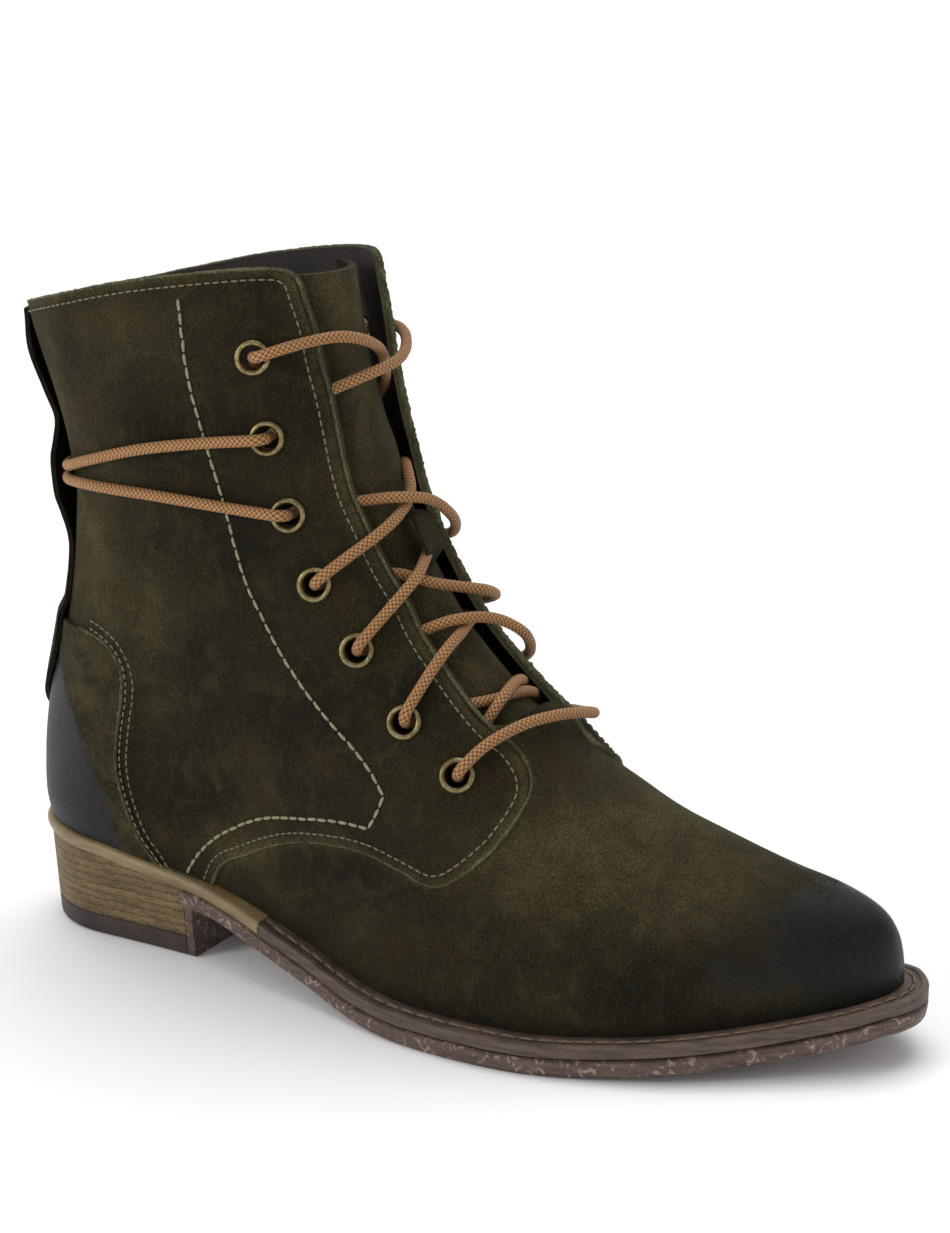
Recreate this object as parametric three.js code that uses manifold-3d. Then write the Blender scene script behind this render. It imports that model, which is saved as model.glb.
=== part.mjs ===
// Lace-up ankle boot for the right foot: leather upper on a welted sole with a stacked heel.
// Millimetres, +X to the toe, +Y to the wearer's left, which is the inner side, +Z up.
// The origin is on the floor, under the middle of the heel.
import * as THREE from 'three';
import { mergeVertices } from 'three/addons/utils/BufferGeometryUtils.js';
import Module from 'manifold-3d';

const wasm = await Module();
wasm.setup();

// Upper
const UPPER_LENGTH = 268; // from the back of the heel to the toe tip
const HEEL_BACK = -29.4; // back of the upper, behind the middle of the heel
const COLLAR_HEIGHT = 206; // front of the collar over the floor
const BALL_WIDTH = 89; // of the upper at its lower edge
const SHAFT_WIDTH = 71; // of the upper at the collar
const TOE_ROUND = 90; // length over which the toe narrows to its tip
const WALL = 1.6; // vamp
const QUARTER_STEP = 1.2; // the quarters lie this much over the vamp
const EDGE_TUCK = 1.8; // how far the lower edge draws in
const EDGE_TUCK_HEIGHT = 13;
const WIDTH_BLEND = 0.35; // share of a section after which its width passes into the sole line's
const BACK_POWER = 2.1; // roundness of the back, 2 being a circle's

// Overlays
const COUNTER_THICKNESS = 1.2;
const BACKSTAY_THICKNESS = 1.4;
const BACKSTAY_WIDTH = 38;
const BACKSTAY_RISE = 7; // height over which it climbs onto the counter
const BACKSTAY_STEPS = 6; // across it

// Tongue and insole
const TONGUE_THICKNESS = 2.2;
const TONGUE_DEPTH = 1.6; // between the facings and the tongue
const TONGUE_WING = 0.055; // how far it runs behind the facings, share of UPPER_LENGTH
const TONGUE_TOP = 0.985; // share of COLLAR_HEIGHT
const TONGUE_ROOT = 0.045; // how far it runs under the vamp, share of UPPER_LENGTH
const KEEPER_WIDTH = 9;
const KEEPER_LENGTH = 17;
const KEEPER_ROOM = 4.9; // under its raised middle, for the lace
const KEEPER_THICKNESS = 1.2;
const KEEPER_STEPS = 10; // along it
const INSOLE_THICKNESS = 2.5;

// Sole
const SOLE_THICKNESS = 5.0; // lower layer
const WELT_THICKNESS = 4.0; // upper layer
const HEEL_RISE = 23.9; // of the foot's seat over the ball
const TOE_SPRING = 11.2;
const WELT_WIDTH = 6.5; // from the upper to the edge of the sole
const RAND_WIDTH = 4.2; // the same round the heel
const GROOVE_DEPTH = 0.9; // round the side of the sole
const GROOVE_HEIGHT = 0.9;
const NOTCH_DEPTH = 0.8; // small cuts across the lower edge of the side
const NOTCH_WIDTH = 1.2;
const WELT_NOTCH_X = 63; // where the welt ends and the rand starts
const WELT_ROUND = 0.9; // of its upper edge
const SOLE_ROUND = 1.2; // of the sole's lower edge

// Heel
const HEEL_BREAST_X = 34; // front face of the heel
const HEEL_TAPER = 2.2; // how much the heel draws in towards the floor
const LIFT_THICKNESS = 6.5;
const LIFT_ROUND = 1.4;
const BREAST_THICKNESS = 2.6; // sole layer turned down over the front of the heel

// Eyelets
const EYELET_OUTER = 10;
const EYELET_HOLE = 6.0;
const EYELET_HEIGHT = 1.1;
const EYELET_BARREL = 7.0;
const EYELET_SEAT = 0.6; // under the flange
const EYELET_SIDES = 8;

// Lace
const LACE_DIAMETER = 3.2;
const LACE_SIDES = 6;
const LACE_BACK = { upper: 0.69, lower: 0.672 }; // height at the back, shares of COLLAR_HEIGHT
const CROSSING_STEPS = 6; // along one run over the tongue
const WRAP_STEPS = 9; // along half a run round the back

const GAP = 0.3; // between pieces that meet
const REACH = 400; // longer than the boot, for cutting solids
const SKIRT = 8; // the skin's lower edge is drawn down by this before it is cut
const PLAN_STATIONS = 32; // along the boot, where its plan is worked out
const HEEL_FRONT = HEEL_BREAST_X - BREAST_THICKNESS;

// Height of the lace's middle over the skin
const LACE_OVER_EYELET = QUARTER_STEP + EYELET_SEAT + EYELET_HEIGHT + GAP * 3 + LACE_DIAMETER / 2;
const LACE_OVER_TONGUE = -(WALL + TONGUE_DEPTH) + GAP * 2 + LACE_DIAMETER / 2;
const LACE_OVER_QUARTER = QUARTER_STEP + GAP * 4 + LACE_DIAMETER / 2;

// Line of the sole, from the back of the heel to the toe. along: share of UPPER_LENGTH. seat: share of
// HEEL_RISE. spring: share of TOE_SPRING. half and shift: half width and sideways shift of the upper's
// lower edge, shares of BALL_WIDTH.
const SOLE_LINE = [
  { along: 0.0, seat: 1.0, spring: 0, half: 0.315, shift: 0 },
  { along: 0.06, seat: 0.965, spring: 0, half: 0.309, shift: 0 },
  { along: 0.115, seat: 0.89, spring: 0, half: 0.292, shift: -0.003 },
  { along: 0.155, seat: 0.815, spring: 0, half: 0.292, shift: -0.006 },
  { along: 0.205, seat: 0.74, spring: 0, half: 0.292, shift: -0.014 },
  { along: 0.263, seat: 0.645, spring: 0, half: 0.292, shift: -0.028 },
  { along: 0.304, seat: 0.56, spring: 0, half: 0.298, shift: -0.045 },
  { along: 0.349, seat: 0.445, spring: 0, half: 0.309, shift: -0.062 },
  { along: 0.416, seat: 0.23, spring: 0, half: 0.332, shift: -0.079 },
  { along: 0.472, seat: 0.075, spring: 0, half: 0.371, shift: -0.093 },
  { along: 0.52, seat: 0.013, spring: 0, half: 0.416, shift: -0.092 },
  { along: 0.565, seat: 0, spring: 0, half: 0.455, shift: -0.079 },
  { along: 0.629, seat: 0, spring: 0, half: 0.489, shift: -0.056 },
  { along: 0.688, seat: 0, spring: 0, half: 0.5, shift: -0.031 },
  { along: 0.755, seat: 0, spring: 0.09, half: 0.489, shift: -0.003 },
  { along: 0.811, seat: 0, spring: 0.215, half: 0.472, shift: 0.018 },
  { along: 0.871, seat: 0, spring: 0.36, half: 0.444, shift: 0.054 },
  { along: 0.927, seat: 0, spring: 0.57, half: 0.421, shift: 0.084 },
  { along: 0.972, seat: 0, spring: 0.78, half: 0.416, shift: 0.098 },
  { along: 1.0, seat: 0, spring: 0.94, half: 0.416, shift: 0.107 },
];

// Line of the back seam. up: share of COLLAR_HEIGHT. lean: forward from HEEL_BACK, share of UPPER_LENGTH.
// round: length over which the back turns into the side, share of SHAFT_WIDTH.
const BACK_LINE = [
  { up: 0.16, lean: 0.003, round: 0.465 },
  { up: 0.205, lean: 0, round: 0.49 },
  { up: 0.29, lean: 0.004, round: 0.535 },
  { up: 0.37, lean: 0.016, round: 0.56 },
  { up: 0.475, lean: 0.037, round: 0.595 },
  { up: 0.58, lean: 0.054, round: 0.62 },
  { up: 0.67, lean: 0.058, round: 0.645 },
  { up: 0.75, lean: 0.049, round: 0.665 },
  { up: 0.81, lean: 0.035, round: 0.68 },
  { up: 0.91, lean: 0.008, round: 0.7 },
  { up: 1.0, lean: -0.006, round: 0.71 },
];

// Sections of the last, fanned from the toe tip over the instep to the collar. along and up: the ridge.
// low: where the section meets the sole line, or back: its height on the back seam. half and shift:
// half width and sideways shift at mid height. shaft: how far the half width follows SHAFT_WIDTH
// instead of BALL_WIDTH. round: how far below the ridge the full width is reached. along and low are
// shares of UPPER_LENGTH, up and back of COLLAR_HEIGHT, shift and round of BALL_WIDTH.
const SECTIONS = [
  { along: 0.9985, up: 0.114, low: 0.9985, half: 0.416, shaft: 0, shift: 0.107, round: 0.135, power: 2.2 },
  { along: 0.996, up: 0.146, low: 0.996, half: 0.416, shaft: 0, shift: 0.107, round: 0.225, power: 2.2 },
  { along: 0.988, up: 0.175, low: 0.987, half: 0.416, shaft: 0, shift: 0.101, round: 0.303, power: 2.2 },
  { along: 0.968, up: 0.199, low: 0.968, half: 0.416, shaft: 0, shift: 0.098, round: 0.371, power: 2.2 },
  { along: 0.927, up: 0.221, low: 0.927, half: 0.421, shaft: 0, shift: 0.084, round: 0.427, power: 2.15 },
  { along: 0.871, up: 0.24, low: 0.867, half: 0.444, shaft: 0, shift: 0.054, round: 0.472, power: 2.1 },
  { along: 0.811, up: 0.267, low: 0.804, half: 0.472, shaft: 0, shift: 0.02, round: 0.517, power: 2.05 },
  { along: 0.748, up: 0.299, low: 0.733, half: 0.489, shaft: 0, shift: 0, round: 0.562, power: 2.0 },
  { along: 0.688, up: 0.345, low: 0.658, half: 0.478, shaft: 0, shift: -0.028, round: 0.584, power: 2.0 },
  { along: 0.634, up: 0.41, low: 0.576, half: 0.444, shaft: 0, shift: -0.045, round: 0.584, power: 2.0 },
  { along: 0.584, up: 0.473, low: 0.487, half: 0.426, shaft: 0.25, shift: -0.056, round: 0.562, power: 2.0 },
  { along: 0.533, up: 0.541, low: 0.382, half: 0.419, shaft: 0.5, shift: -0.045, round: 0.528, power: 2.0 },
  { along: 0.49, up: 0.619, low: 0.263, half: 0.437, shaft: 0.75, shift: -0.028, round: 0.494, power: 2.0 },
  { along: 0.46, up: 0.692, low: 0.14, half: 0.465, shaft: 1, shift: -0.011, round: 0.472, power: 2.0 },
  { along: 0.444, up: 0.755, low: 0.035, half: 0.465, shaft: 1, shift: 0, round: 0.461, power: 2.0 },
  { along: 0.439, up: 0.777, low: 0.003, half: 0.465, shaft: 1, shift: 0, round: 0.455, power: 2.0 },
  { along: 0.434, up: 0.8, back: 0.243, half: 0.465, shaft: 1, shift: 0, round: 0.449, power: 2.0 },
  { along: 0.427, up: 0.842, back: 0.369, half: 0.469, shaft: 1, shift: 0, round: 0.449, power: 2.0 },
  { along: 0.42, up: 0.879, back: 0.476, half: 0.475, shaft: 1, shift: 0, round: 0.449, power: 2.0 },
  { along: 0.416, up: 0.915, back: 0.583, half: 0.482, shaft: 1, shift: 0, round: 0.449, power: 2.0 },
  { along: 0.412, up: 0.951, back: 0.694, half: 0.493, shaft: 1, shift: 0, round: 0.461, power: 2.0 },
  { along: 0.408, up: 0.988, back: 0.806, half: 0.5, shaft: 1, shift: 0, round: 0.472, power: 2.0 },
  { along: 0.407, up: 1.024, back: 0.913, half: 0.507, shaft: 1, shift: 0, round: 0.483, power: 2.0 },
  { along: 0.405, up: 1.063, back: 1.0, half: 0.514, shaft: 1, shift: 0, round: 0.494, power: 2.0 },
];
const LAST_ON_SOLE = 15; // the sections up to this one end on the sole line
const HEEL_BLEND = 4.5; // sections over which the heel's width passes into the shaft's

// Where the skin is sampled: shares of a section, close together near the ridge and the back seam, and
// section numbers, close together at the toe and at the heel's corner
const SAMPLE_SHARES = [0, 0.018, 0.065, 0.15, 0.28, 0.45, 0.64, 0.8, 0.905, 0.965, 1];
const SAMPLE_ROWS = [
  0, 0.5, 1.2, 2, 3, 4.2, 5.5, 7, 8.3, 9.5, 10.6, 11.6, 12.6, 13.5, 14.1, 14.5, 14.8, 14.94, 15,
  15.3, 16, 17, 18, 19, 20.2, 21.6, 23,
];

// Side view of the edges. along: share of UPPER_LENGTH, up: share of COLLAR_HEIGHT, inner: how much
// further forward the edge lies on the inner side, share of UPPER_LENGTH.
const COLLAR_EDGE = [
  { along: -0.03, up: 0.918 },
  { along: 0.01, up: 0.922 },
  { along: 0.11, up: 0.951 },
  { along: 0.2, up: 0.976 },
  { along: 0.29, up: 0.993 },
  { along: 0.35, up: 0.999 },
  { along: 0.372, up: 0.99 },
  { along: 0.38, up: 0.96 },
];
const FACING_EDGE = [
  { along: 0.38, up: 0.96, inner: 0 },
  { along: 0.389, up: 0.92, inner: 0 },
  { along: 0.397, up: 0.867, inner: 0 },
  { along: 0.405, up: 0.828, inner: 0 },
  { along: 0.419, up: 0.749, inner: 0 },
  { along: 0.432, up: 0.697, inner: 0 },
  { along: 0.455, up: 0.639, inner: 0 },
  { along: 0.473, up: 0.601, inner: 0 },
  { along: 0.491, up: 0.569, inner: 0.002 },
  { along: 0.517, up: 0.52, inner: 0.004 },
  { along: 0.555, up: 0.467, inner: 0.008 },
  { along: 0.598, up: 0.415, inner: 0.014 },
];
const THROAT_LIP = { along: 0.6265, up: 0.432 }; // over the ridge, where both facings' lines meet
const QUARTER_EDGE = [
  { along: 0.598, up: 0.415, inner: 0.014 },
  { along: 0.623, up: 0.391, inner: 0.02 },
  { along: 0.642, up: 0.362, inner: 0.024 },
  { along: 0.648, up: 0.335, inner: 0.024 },
  { along: 0.64, up: 0.301, inner: 0.02 },
  { along: 0.621, up: 0.263, inner: 0.014 },
  { along: 0.579, up: 0.22, inner: 0.006 },
  { along: 0.537, up: 0.229, inner: 0 },
  { along: 0.497, up: 0.239, inner: 0 },
  { along: 0.452, up: 0.239, inner: 0 },
  { along: 0.398, up: 0.229, inner: 0 },
  { along: 0.355, up: 0.21, inner: 0 },
  { along: 0.317, up: 0.185, inner: 0 },
  { along: 0.282, up: 0.16, inner: 0 },
  { along: 0.262, up: 0.12, inner: 0 },
  { along: 0.255, up: 0.05, inner: 0 },
];
const COUNTER_EDGE = [
  { along: 0.103, up: 0.472 },
  { along: 0.133, up: 0.468 },
  { along: 0.156, up: 0.453 },
  { along: 0.167, up: 0.424 },
  { along: 0.165, up: 0.39 },
  { along: 0.157, up: 0.343 },
  { along: 0.149, up: 0.286 },
  { along: 0.151, up: 0.238 },
  { along: 0.162, up: 0.192 },
  { along: 0.175, up: 0.163 },
  { along: 0.19, up: 0.139 },
  { along: 0.21, up: 0.08 },
];

// Backstay. up: share of COLLAR_HEIGHT, half: share of BACKSTAY_WIDTH, off: stand-off, share of
// LACE_DIAMETER, which it clears where the lace runs behind it.
const BACKSTAY = [
  { up: 0.914, half: 0.4, off: 0 },
  { up: 0.9, half: 0.41, off: 0.15 },
  { up: 0.855, half: 0.42, off: 0.75 },
  { up: 0.8, half: 0.43, off: 0.5 },
  { up: 0.765, half: 0.44, off: 0.25 },
  { up: 0.735, half: 0.445, off: 0.8 },
  { up: 0.71, half: 0.45, off: 1.35 },
  { up: 0.685, half: 0.455, off: 1.5 },
  { up: 0.655, half: 0.46, off: 1.4 },
  { up: 0.63, half: 0.465, off: 0.9 },
  { up: 0.6, half: 0.47, off: 0.3 },
  { up: 0.57, half: 0.48, off: 0.05 },
  { up: 0.51, half: 0.5, off: 0 },
  { up: 0.476, half: 0.5, off: 0 },
  { up: 0.41, half: 0.5, off: 0 },
  { up: 0.36, half: 0.37, off: 0 },
  { up: 0.32, half: 0.19, off: 0 },
  { up: 0.292, half: 0.02, off: 0 },
];

// Cuts across the tread. along: share of UPPER_LENGTH.
const TREAD_CUTS = [{ along: 0.68 }, { along: 0.735 }, { along: 0.79 }, { along: 0.845 }, { along: 0.9 }];

// Eyelet places, bottom to top. along: share of UPPER_LENGTH, up: share of COLLAR_HEIGHT.
const EYELETS = [
  { along: 0.582, up: 0.36 },
  { along: 0.52, up: 0.42 },
  { along: 0.461, up: 0.506 },
  { along: 0.411, up: 0.588 },
  { along: 0.379, up: 0.678 },
  { along: 0.356, up: 0.779 },
  { along: 0.342, up: 0.885 },
];

const lerp = (a, b, t) => a + (b - a) * t;
const clamp = (value, low, high) => Math.min(Math.max(value, low), high);

function smoothStep(a, b, value) {
  const t = clamp((value - a) / (b - a), 0, 1);
  return t * t * (3 - 2 * t);
}

// Rises from 0 to 1 over a length as a rounded shoulder
function roundOff(distance, length, power) {
  const u = clamp(distance / length, 0, 1);
  return (1 - (1 - u) ** power) ** (1 / power);
}

// Smooth curve through one column of a table, by another column that only rises or only falls
function smooth(rows, key, column, value) {
  const falling = rows[0][key] > rows[rows.length - 1][key];
  const list = falling ? [...rows].reverse() : rows;
  const last = list.length - 1;
  if (value <= list[0][key]) return list[0][column];
  if (value >= list[last][key]) return list[last][column];
  let i = 0;
  while (list[i + 1][key] < value) i += 1;
  const slope = (j) => {
    const a = list[Math.max(j - 1, 0)];
    const b = list[Math.min(j + 1, last)];
    return (b[column] - a[column]) / (b[key] - a[key]);
  };
  const span = list[i + 1][key] - list[i][key];
  const t = (value - list[i][key]) / span;
  const rise = list[i + 1][column] - list[i][column];
  const bend = (slope(i) * (1 - t) - slope(i + 1) * t) * span - rise * (1 - 2 * t);
  return list[i][column] + rise * t + bend * t * (1 - t);
}

// Smooth curve through a column by row number
function byRow(rows, column, v) {
  const i = clamp(Math.floor(v), 0, rows.length - 2);
  const t = v - i;
  const p1 = rows[i][column];
  const p2 = rows[i + 1][column];
  const p0 = rows[i - 1]?.[column] ?? 2 * p1 - p2;
  const p3 = rows[i + 2]?.[column] ?? 2 * p2 - p1;
  const square = 2 * p0 - 5 * p1 + 4 * p2 - p3;
  const cube = 3 * p1 - p0 - 3 * p2 + p3;
  return 0.5 * (2 * p1 + (p2 - p0) * t + square * t * t + cube * t ** 3);
}

const xAt = (along) => HEEL_BACK + along * UPPER_LENGTH;
const alongAt = (x) => (x - HEEL_BACK) / UPPER_LENGTH;

// Heights of the sole's layers at x
function underside(x) {
  const seat = smooth(SOLE_LINE, 'along', 'seat', alongAt(x));
  const spring = smooth(SOLE_LINE, 'along', 'spring', alongAt(x));
  return Math.max(HEEL_RISE * seat + TOE_SPRING * spring, 0);
}
const soleTop = (x) => underside(x) + SOLE_THICKNESS;
const weltBottom = (x) => soleTop(x) + GAP;
const weltTop = (x) => weltBottom(x) + WELT_THICKNESS;
const seatHeight = (x) => weltTop(x) + GAP;

// Back seam at a height
function backX(z) {
  return HEEL_BACK + UPPER_LENGTH * smooth(BACK_LINE, 'up', 'lean', z / COLLAR_HEIGHT);
}
const backRound = (z) => SHAFT_WIDTH * smooth(BACK_LINE, 'up', 'round', z / COLLAR_HEIGHT);

// One section of the last: ridge point, low point and widths
function sectionAt(v) {
  const onSole = v <= LAST_ON_SOLE;
  const front = { x: xAt(byRow(SECTIONS, 'along', v)), z: COLLAR_HEIGHT * byRow(SECTIONS, 'up', v) };
  const low = { x: 0, z: 0 };
  if (onSole) {
    low.x = xAt(byRow(SECTIONS.slice(0, LAST_ON_SOLE + 1), 'low', v));
    low.z = seatHeight(low.x);
  } else {
    const start = { back: seatHeight(xAt(SECTIONS[LAST_ON_SOLE].low)) / COLLAR_HEIGHT };
    const rows = [start, ...SECTIONS.slice(LAST_ON_SOLE + 1)];
    low.z = COLLAR_HEIGHT * byRow(rows, 'back', v - LAST_ON_SOLE);
    low.x = backX(low.z);
  }
  const width = lerp(BALL_WIDTH, SHAFT_WIDTH, byRow(SECTIONS, 'shaft', v));
  const half = width * byRow(SECTIONS, 'half', v);
  const shift = BALL_WIDTH * byRow(SECTIONS, 'shift', v);
  const fade = smoothStep(LAST_ON_SOLE, LAST_ON_SOLE + HEEL_BLEND, v);
  return {
    front,
    low,
    length: Math.hypot(low.x - front.x, low.z - front.z),
    half,
    shift,
    lowHalf: lerp(BALL_WIDTH * smooth(SOLE_LINE, 'along', 'half', alongAt(low.x)), half, fade),
    lowShift: lerp(BALL_WIDTH * smooth(SOLE_LINE, 'along', 'shift', alongAt(low.x)), shift, fade),
    round: BALL_WIDTH * byRow(SECTIONS, 'round', v),
    power: byRow(SECTIONS, 'power', v),
  };
}

// Point of the last's skin on section v, t from the ridge to the low point, side -1 outer or 1 inner
function skinPoint(v, t, side) {
  const s = sectionAt(v);
  const x = lerp(s.front.x, s.low.x, t);
  const z = lerp(s.front.z, s.low.z, t);
  const blend = smoothStep(WIDTH_BLEND, 1, t);
  const half = lerp(s.half, s.lowHalf, blend);
  const shift = lerp(s.shift, s.lowShift, blend);
  const toe = roundOff(xAt(1) - x, TOE_ROUND, 2);
  const heel = roundOff(x - backX(z), backRound(z), BACK_POWER);
  let width = half * roundOff(t * s.length, s.round, s.power) * toe * heel;
  const over = clamp(1 - (z - seatHeight(x)) / EDGE_TUCK_HEIGHT, 0, 1.5);
  width -= Math.min(EDGE_TUCK * over * over, width / 2) * clamp(width / 20, 0, 1);
  if (t === 0) width = 0;
  return new THREE.Vector3(x, shift + side * Math.max(width, 0), z);
}

// Outward normal of the skin
function skinNormal(v, t, side) {
  const step = 0.02;
  const top = SECTIONS.length - 1;
  const a = skinPoint(clamp(v - step, 0, top), t, side);
  const b = skinPoint(clamp(v + step, 0, top), t, side);
  const along = b.clone().sub(a);
  const s = sectionAt(v);
  const down = new THREE.Vector3(s.low.x - s.front.x, 0, s.low.z - s.front.z).normalize();
  const onSeam = t === 1 && v > LAST_ON_SOLE;
  if (t === 0 || onSeam) {
    const flat = new THREE.Vector3(along.z, 0, -along.x).normalize();
    const outward = down.clone().multiplyScalar(onSeam ? 1 : -1);
    return flat.dot(outward) < 0 ? flat.negate() : flat;
  }
  const c = skinPoint(v, clamp(t - 0.01, 0.001, 1), side);
  const d = skinPoint(v, clamp(t + 0.01, 0.001, 1), side);
  const normal = along.cross(d.sub(c)).normalize();
  return normal.y * side < 0 && Math.abs(normal.y) > 0.02 ? normal.negate() : normal;
}

const offsetPoint = (v, t, side, off) =>
  skinPoint(v, t, side).addScaledVector(skinNormal(v, t, side), off);

// Section and share of it at a place in the side view
function locate(x, z) {
  const beside = (v) => {
    const s = sectionAt(v);
    return (s.low.x - s.front.x) * (z - s.front.z) - (s.low.z - s.front.z) * (x - s.front.x);
  };
  let low = 0;
  let high = SECTIONS.length - 1;
  const sign = Math.sign(beside(high));
  for (let i = 0; i < 40; i += 1) {
    const mid = (low + high) / 2;
    if (Math.sign(beside(mid)) === sign) high = mid;
    else low = mid;
  }
  const s = sectionAt(low);
  const dx = s.low.x - s.front.x;
  const dz = s.low.z - s.front.z;
  const t = ((x - s.front.x) * dx + (z - s.front.z) * dz) / (s.length * s.length);
  return { v: low, t: clamp(t, 0.002, 0.998) };
}

for (const row of EYELETS) row.place = locate(xAt(row.along), row.up * COLLAR_HEIGHT);

// Point and outward normal over the skin at a place given in shares
function onSkin(along, up, side, off) {
  const { v, t } = locate(xAt(along), up * COLLAR_HEIGHT);
  const normal = skinNormal(v, t, side);
  return { point: skinPoint(v, t, side).addScaledVector(normal, off), normal };
}

// Closed geometry from vertices and triangles, turned outward
function closedGeometry(vertices, triangles) {
  const volume = triangles.reduce((sum, [a, b, c]) => {
    const cross = vertices[b].clone().cross(vertices[c]);
    return sum + vertices[a].dot(cross);
  }, 0);
  const faces = volume < 0 ? triangles.map(([a, b, c]) => [a, c, b]) : triangles;
  const geometry = new THREE.BufferGeometry();
  const numbers = vertices.flatMap((p) => [p.x, p.y, p.z]);
  geometry.setAttribute('position', new THREE.Float32BufferAttribute(numbers, 3));
  geometry.setIndex(faces.flat());
  return geometry;
}

// Solid for joining and cutting
function solidOf(source) {
  const bare = source.clone();
  bare.deleteAttribute('normal');
  bare.deleteAttribute('uv');
  const geometry = mergeVertices(bare, 1e-4);
  const index = geometry.index.array;
  const kept = [];
  for (let i = 0; i < index.length; i += 3) {
    const [a, b, c] = [index[i], index[i + 1], index[i + 2]];
    if (a !== b && b !== c && c !== a) kept.push(a, b, c);
  }
  const vertProperties = new Float32Array(geometry.attributes.position.array);
  return new wasm.Manifold(new wasm.Mesh({ numProp: 3, vertProperties, triVerts: new Uint32Array(kept) }));
}

function geometryOf(solid) {
  const mesh = solid.getMesh();
  const geometry = new THREE.BufferGeometry();
  geometry.setAttribute('position', new THREE.BufferAttribute(new Float32Array(mesh.vertProperties), 3));
  geometry.setIndex(new THREE.BufferAttribute(new Uint32Array(mesh.triVerts), 1));
  geometry.computeVertexNormals();
  return geometry;
}

// Loop of the skin over one section, from the inner low edge over the ridge to the outer one
function skinLoop(v, off) {
  const drop = new THREE.Vector3(0, 0, v <= LAST_ON_SOLE ? -SKIRT : 0);
  const inner = SAMPLE_SHARES.map((t) => offsetPoint(v, t, 1, off));
  const outer = SAMPLE_SHARES.map((t) => offsetPoint(v, t, -1, off));
  const last = SAMPLE_SHARES.length - 1;
  return [
    inner[last].clone().add(drop),
    ...inner.slice(1).reverse(),
    ...outer,
    outer[last].clone().add(drop),
  ];
}

// Whole last, grown or shrunk by an offset
function lastSolid(off) {
  return solidOf(loft(SAMPLE_ROWS.map((v) => skinLoop(v, off))));
}

// Closed body through loops of equal count, with flat ends
function loft(loops) {
  const count = loops[0].length;
  const vertices = loops.flat();
  const triangles = [];
  for (let i = 0; i < loops.length - 1; i += 1) {
    for (let j = 0; j < count; j += 1) {
      const next = (j + 1) % count;
      const a = i * count + j;
      const b = i * count + next;
      triangles.push([a, b, b + count], [a, b + count, a + count]);
    }
  }
  const end = (loops.length - 1) * count;
  for (let j = 1; j < count - 1; j += 1) {
    triangles.push([0, j + 1, j], [end, end + j, end + j + 1]);
  }
  return closedGeometry(vertices, triangles);
}

// Solid through the whole width, or one side of it, from a side view outline
function prism(points, fromY = -REACH, toY = REACH) {
  const shape = new THREE.Shape(points.map(([x, z]) => new THREE.Vector2(x, z)));
  const geometry = new THREE.ExtrudeGeometry(shape, { depth: toY - fromY, bevelEnabled: false });
  geometry.rotateX(Math.PI / 2);
  geometry.translate(0, toY, 0);
  return solidOf(geometry);
}

function box(low, high) {
  const size = high.map((value, i) => value - low[i]);
  const geometry = new THREE.BoxGeometry(...size);
  geometry.translate(...low.map((value, i) => value + size[i] / 2));
  return solidOf(geometry);
}

const union = (solids) => solids.reduce((sum, solid) => sum.add(solid));

// Points of a table in the side view, of the outer or the inner side
const sideView = (rows, onInner = false) =>
  rows.map(({ along, up, inner = 0 }) => [xAt(along + (onInner ? inner : 0)), up * COLLAR_HEIGHT]);

// Everything under the seat line, which the sole takes up
function underSeat() {
  const line = [xAt(-0.15), ...stations(), xAt(1.15)].map((x) => [x, seatHeight(x)]);
  return prism([...line, [xAt(1.15), -REACH], [xAt(-0.15), -REACH]]);
}

// Space over the collar and in front of the facings
function aboveCollar() {
  const line = sideView(COLLAR_EDGE);
  return prism([...line, [xAt(0.38), REACH], [xAt(-0.5), REACH], [xAt(-0.5), line[0][1]]]);
}

function throat(onInner, fromY, toY) {
  const edge = sideView([...FACING_EDGE, THROAT_LIP], onInner);
  return prism([...edge, [xAt(1), REACH], [edge[0][0], REACH]], fromY, toY);
}

function quarterZone(onInner, fromY, toY) {
  const front = sideView([...FACING_EDGE, ...QUARTER_EDGE.slice(1)], onInner);
  return prism([...front, [xAt(-0.5), 0], [xAt(-0.5), REACH], [front[0][0], REACH]], fromY, toY);
}

const bothSides = (shape) => shape(false, -REACH, 0).add(shape(true, 0, REACH));

// Hole through the wall for one eyelet
function eyeletHole({ along, up }, where) {
  const depth = (WALL + QUARTER_STEP) * 4;
  const radius = EYELET_BARREL / 2 + GAP;
  const geometry = new THREE.CylinderGeometry(radius, radius, depth, EYELET_SIDES);
  const { point, normal } = onSkin(along, up, where, 0);
  geometry.applyQuaternion(turnTo(normal));
  geometry.translate(...point.toArray());
  return solidOf(geometry);
}

const turnTo = (normal) => new THREE.Quaternion().setFromUnitVectors(new THREE.Vector3(0, 1, 0), normal);

function upperSolid() {
  const vamp = lastSolid(0);
  const quarters = lastSolid(QUARTER_STEP).intersect(bothSides(quarterZone));
  const hollow = vamp.add(quarters).subtract(lastSolid(-WALL));
  const open = hollow.subtract(bothSides(throat)).subtract(aboveCollar()).subtract(underSeat());
  const holes = EYELETS.flatMap((place) => [eyeletHole(place, -1), eyeletHole(place, 1)]);
  return open.subtract(union(holes));
}

function counterSolid() {
  const inside = QUARTER_STEP + GAP;
  const shell = lastSolid(inside + COUNTER_THICKNESS).subtract(lastSolid(inside));
  const edge = sideView(COUNTER_EDGE);
  const zone = prism([...edge, [xAt(-0.5), edge[edge.length - 1][1]], [xAt(-0.5), edge[0][1]]]);
  return shell.intersect(zone).subtract(underSeat());
}

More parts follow.
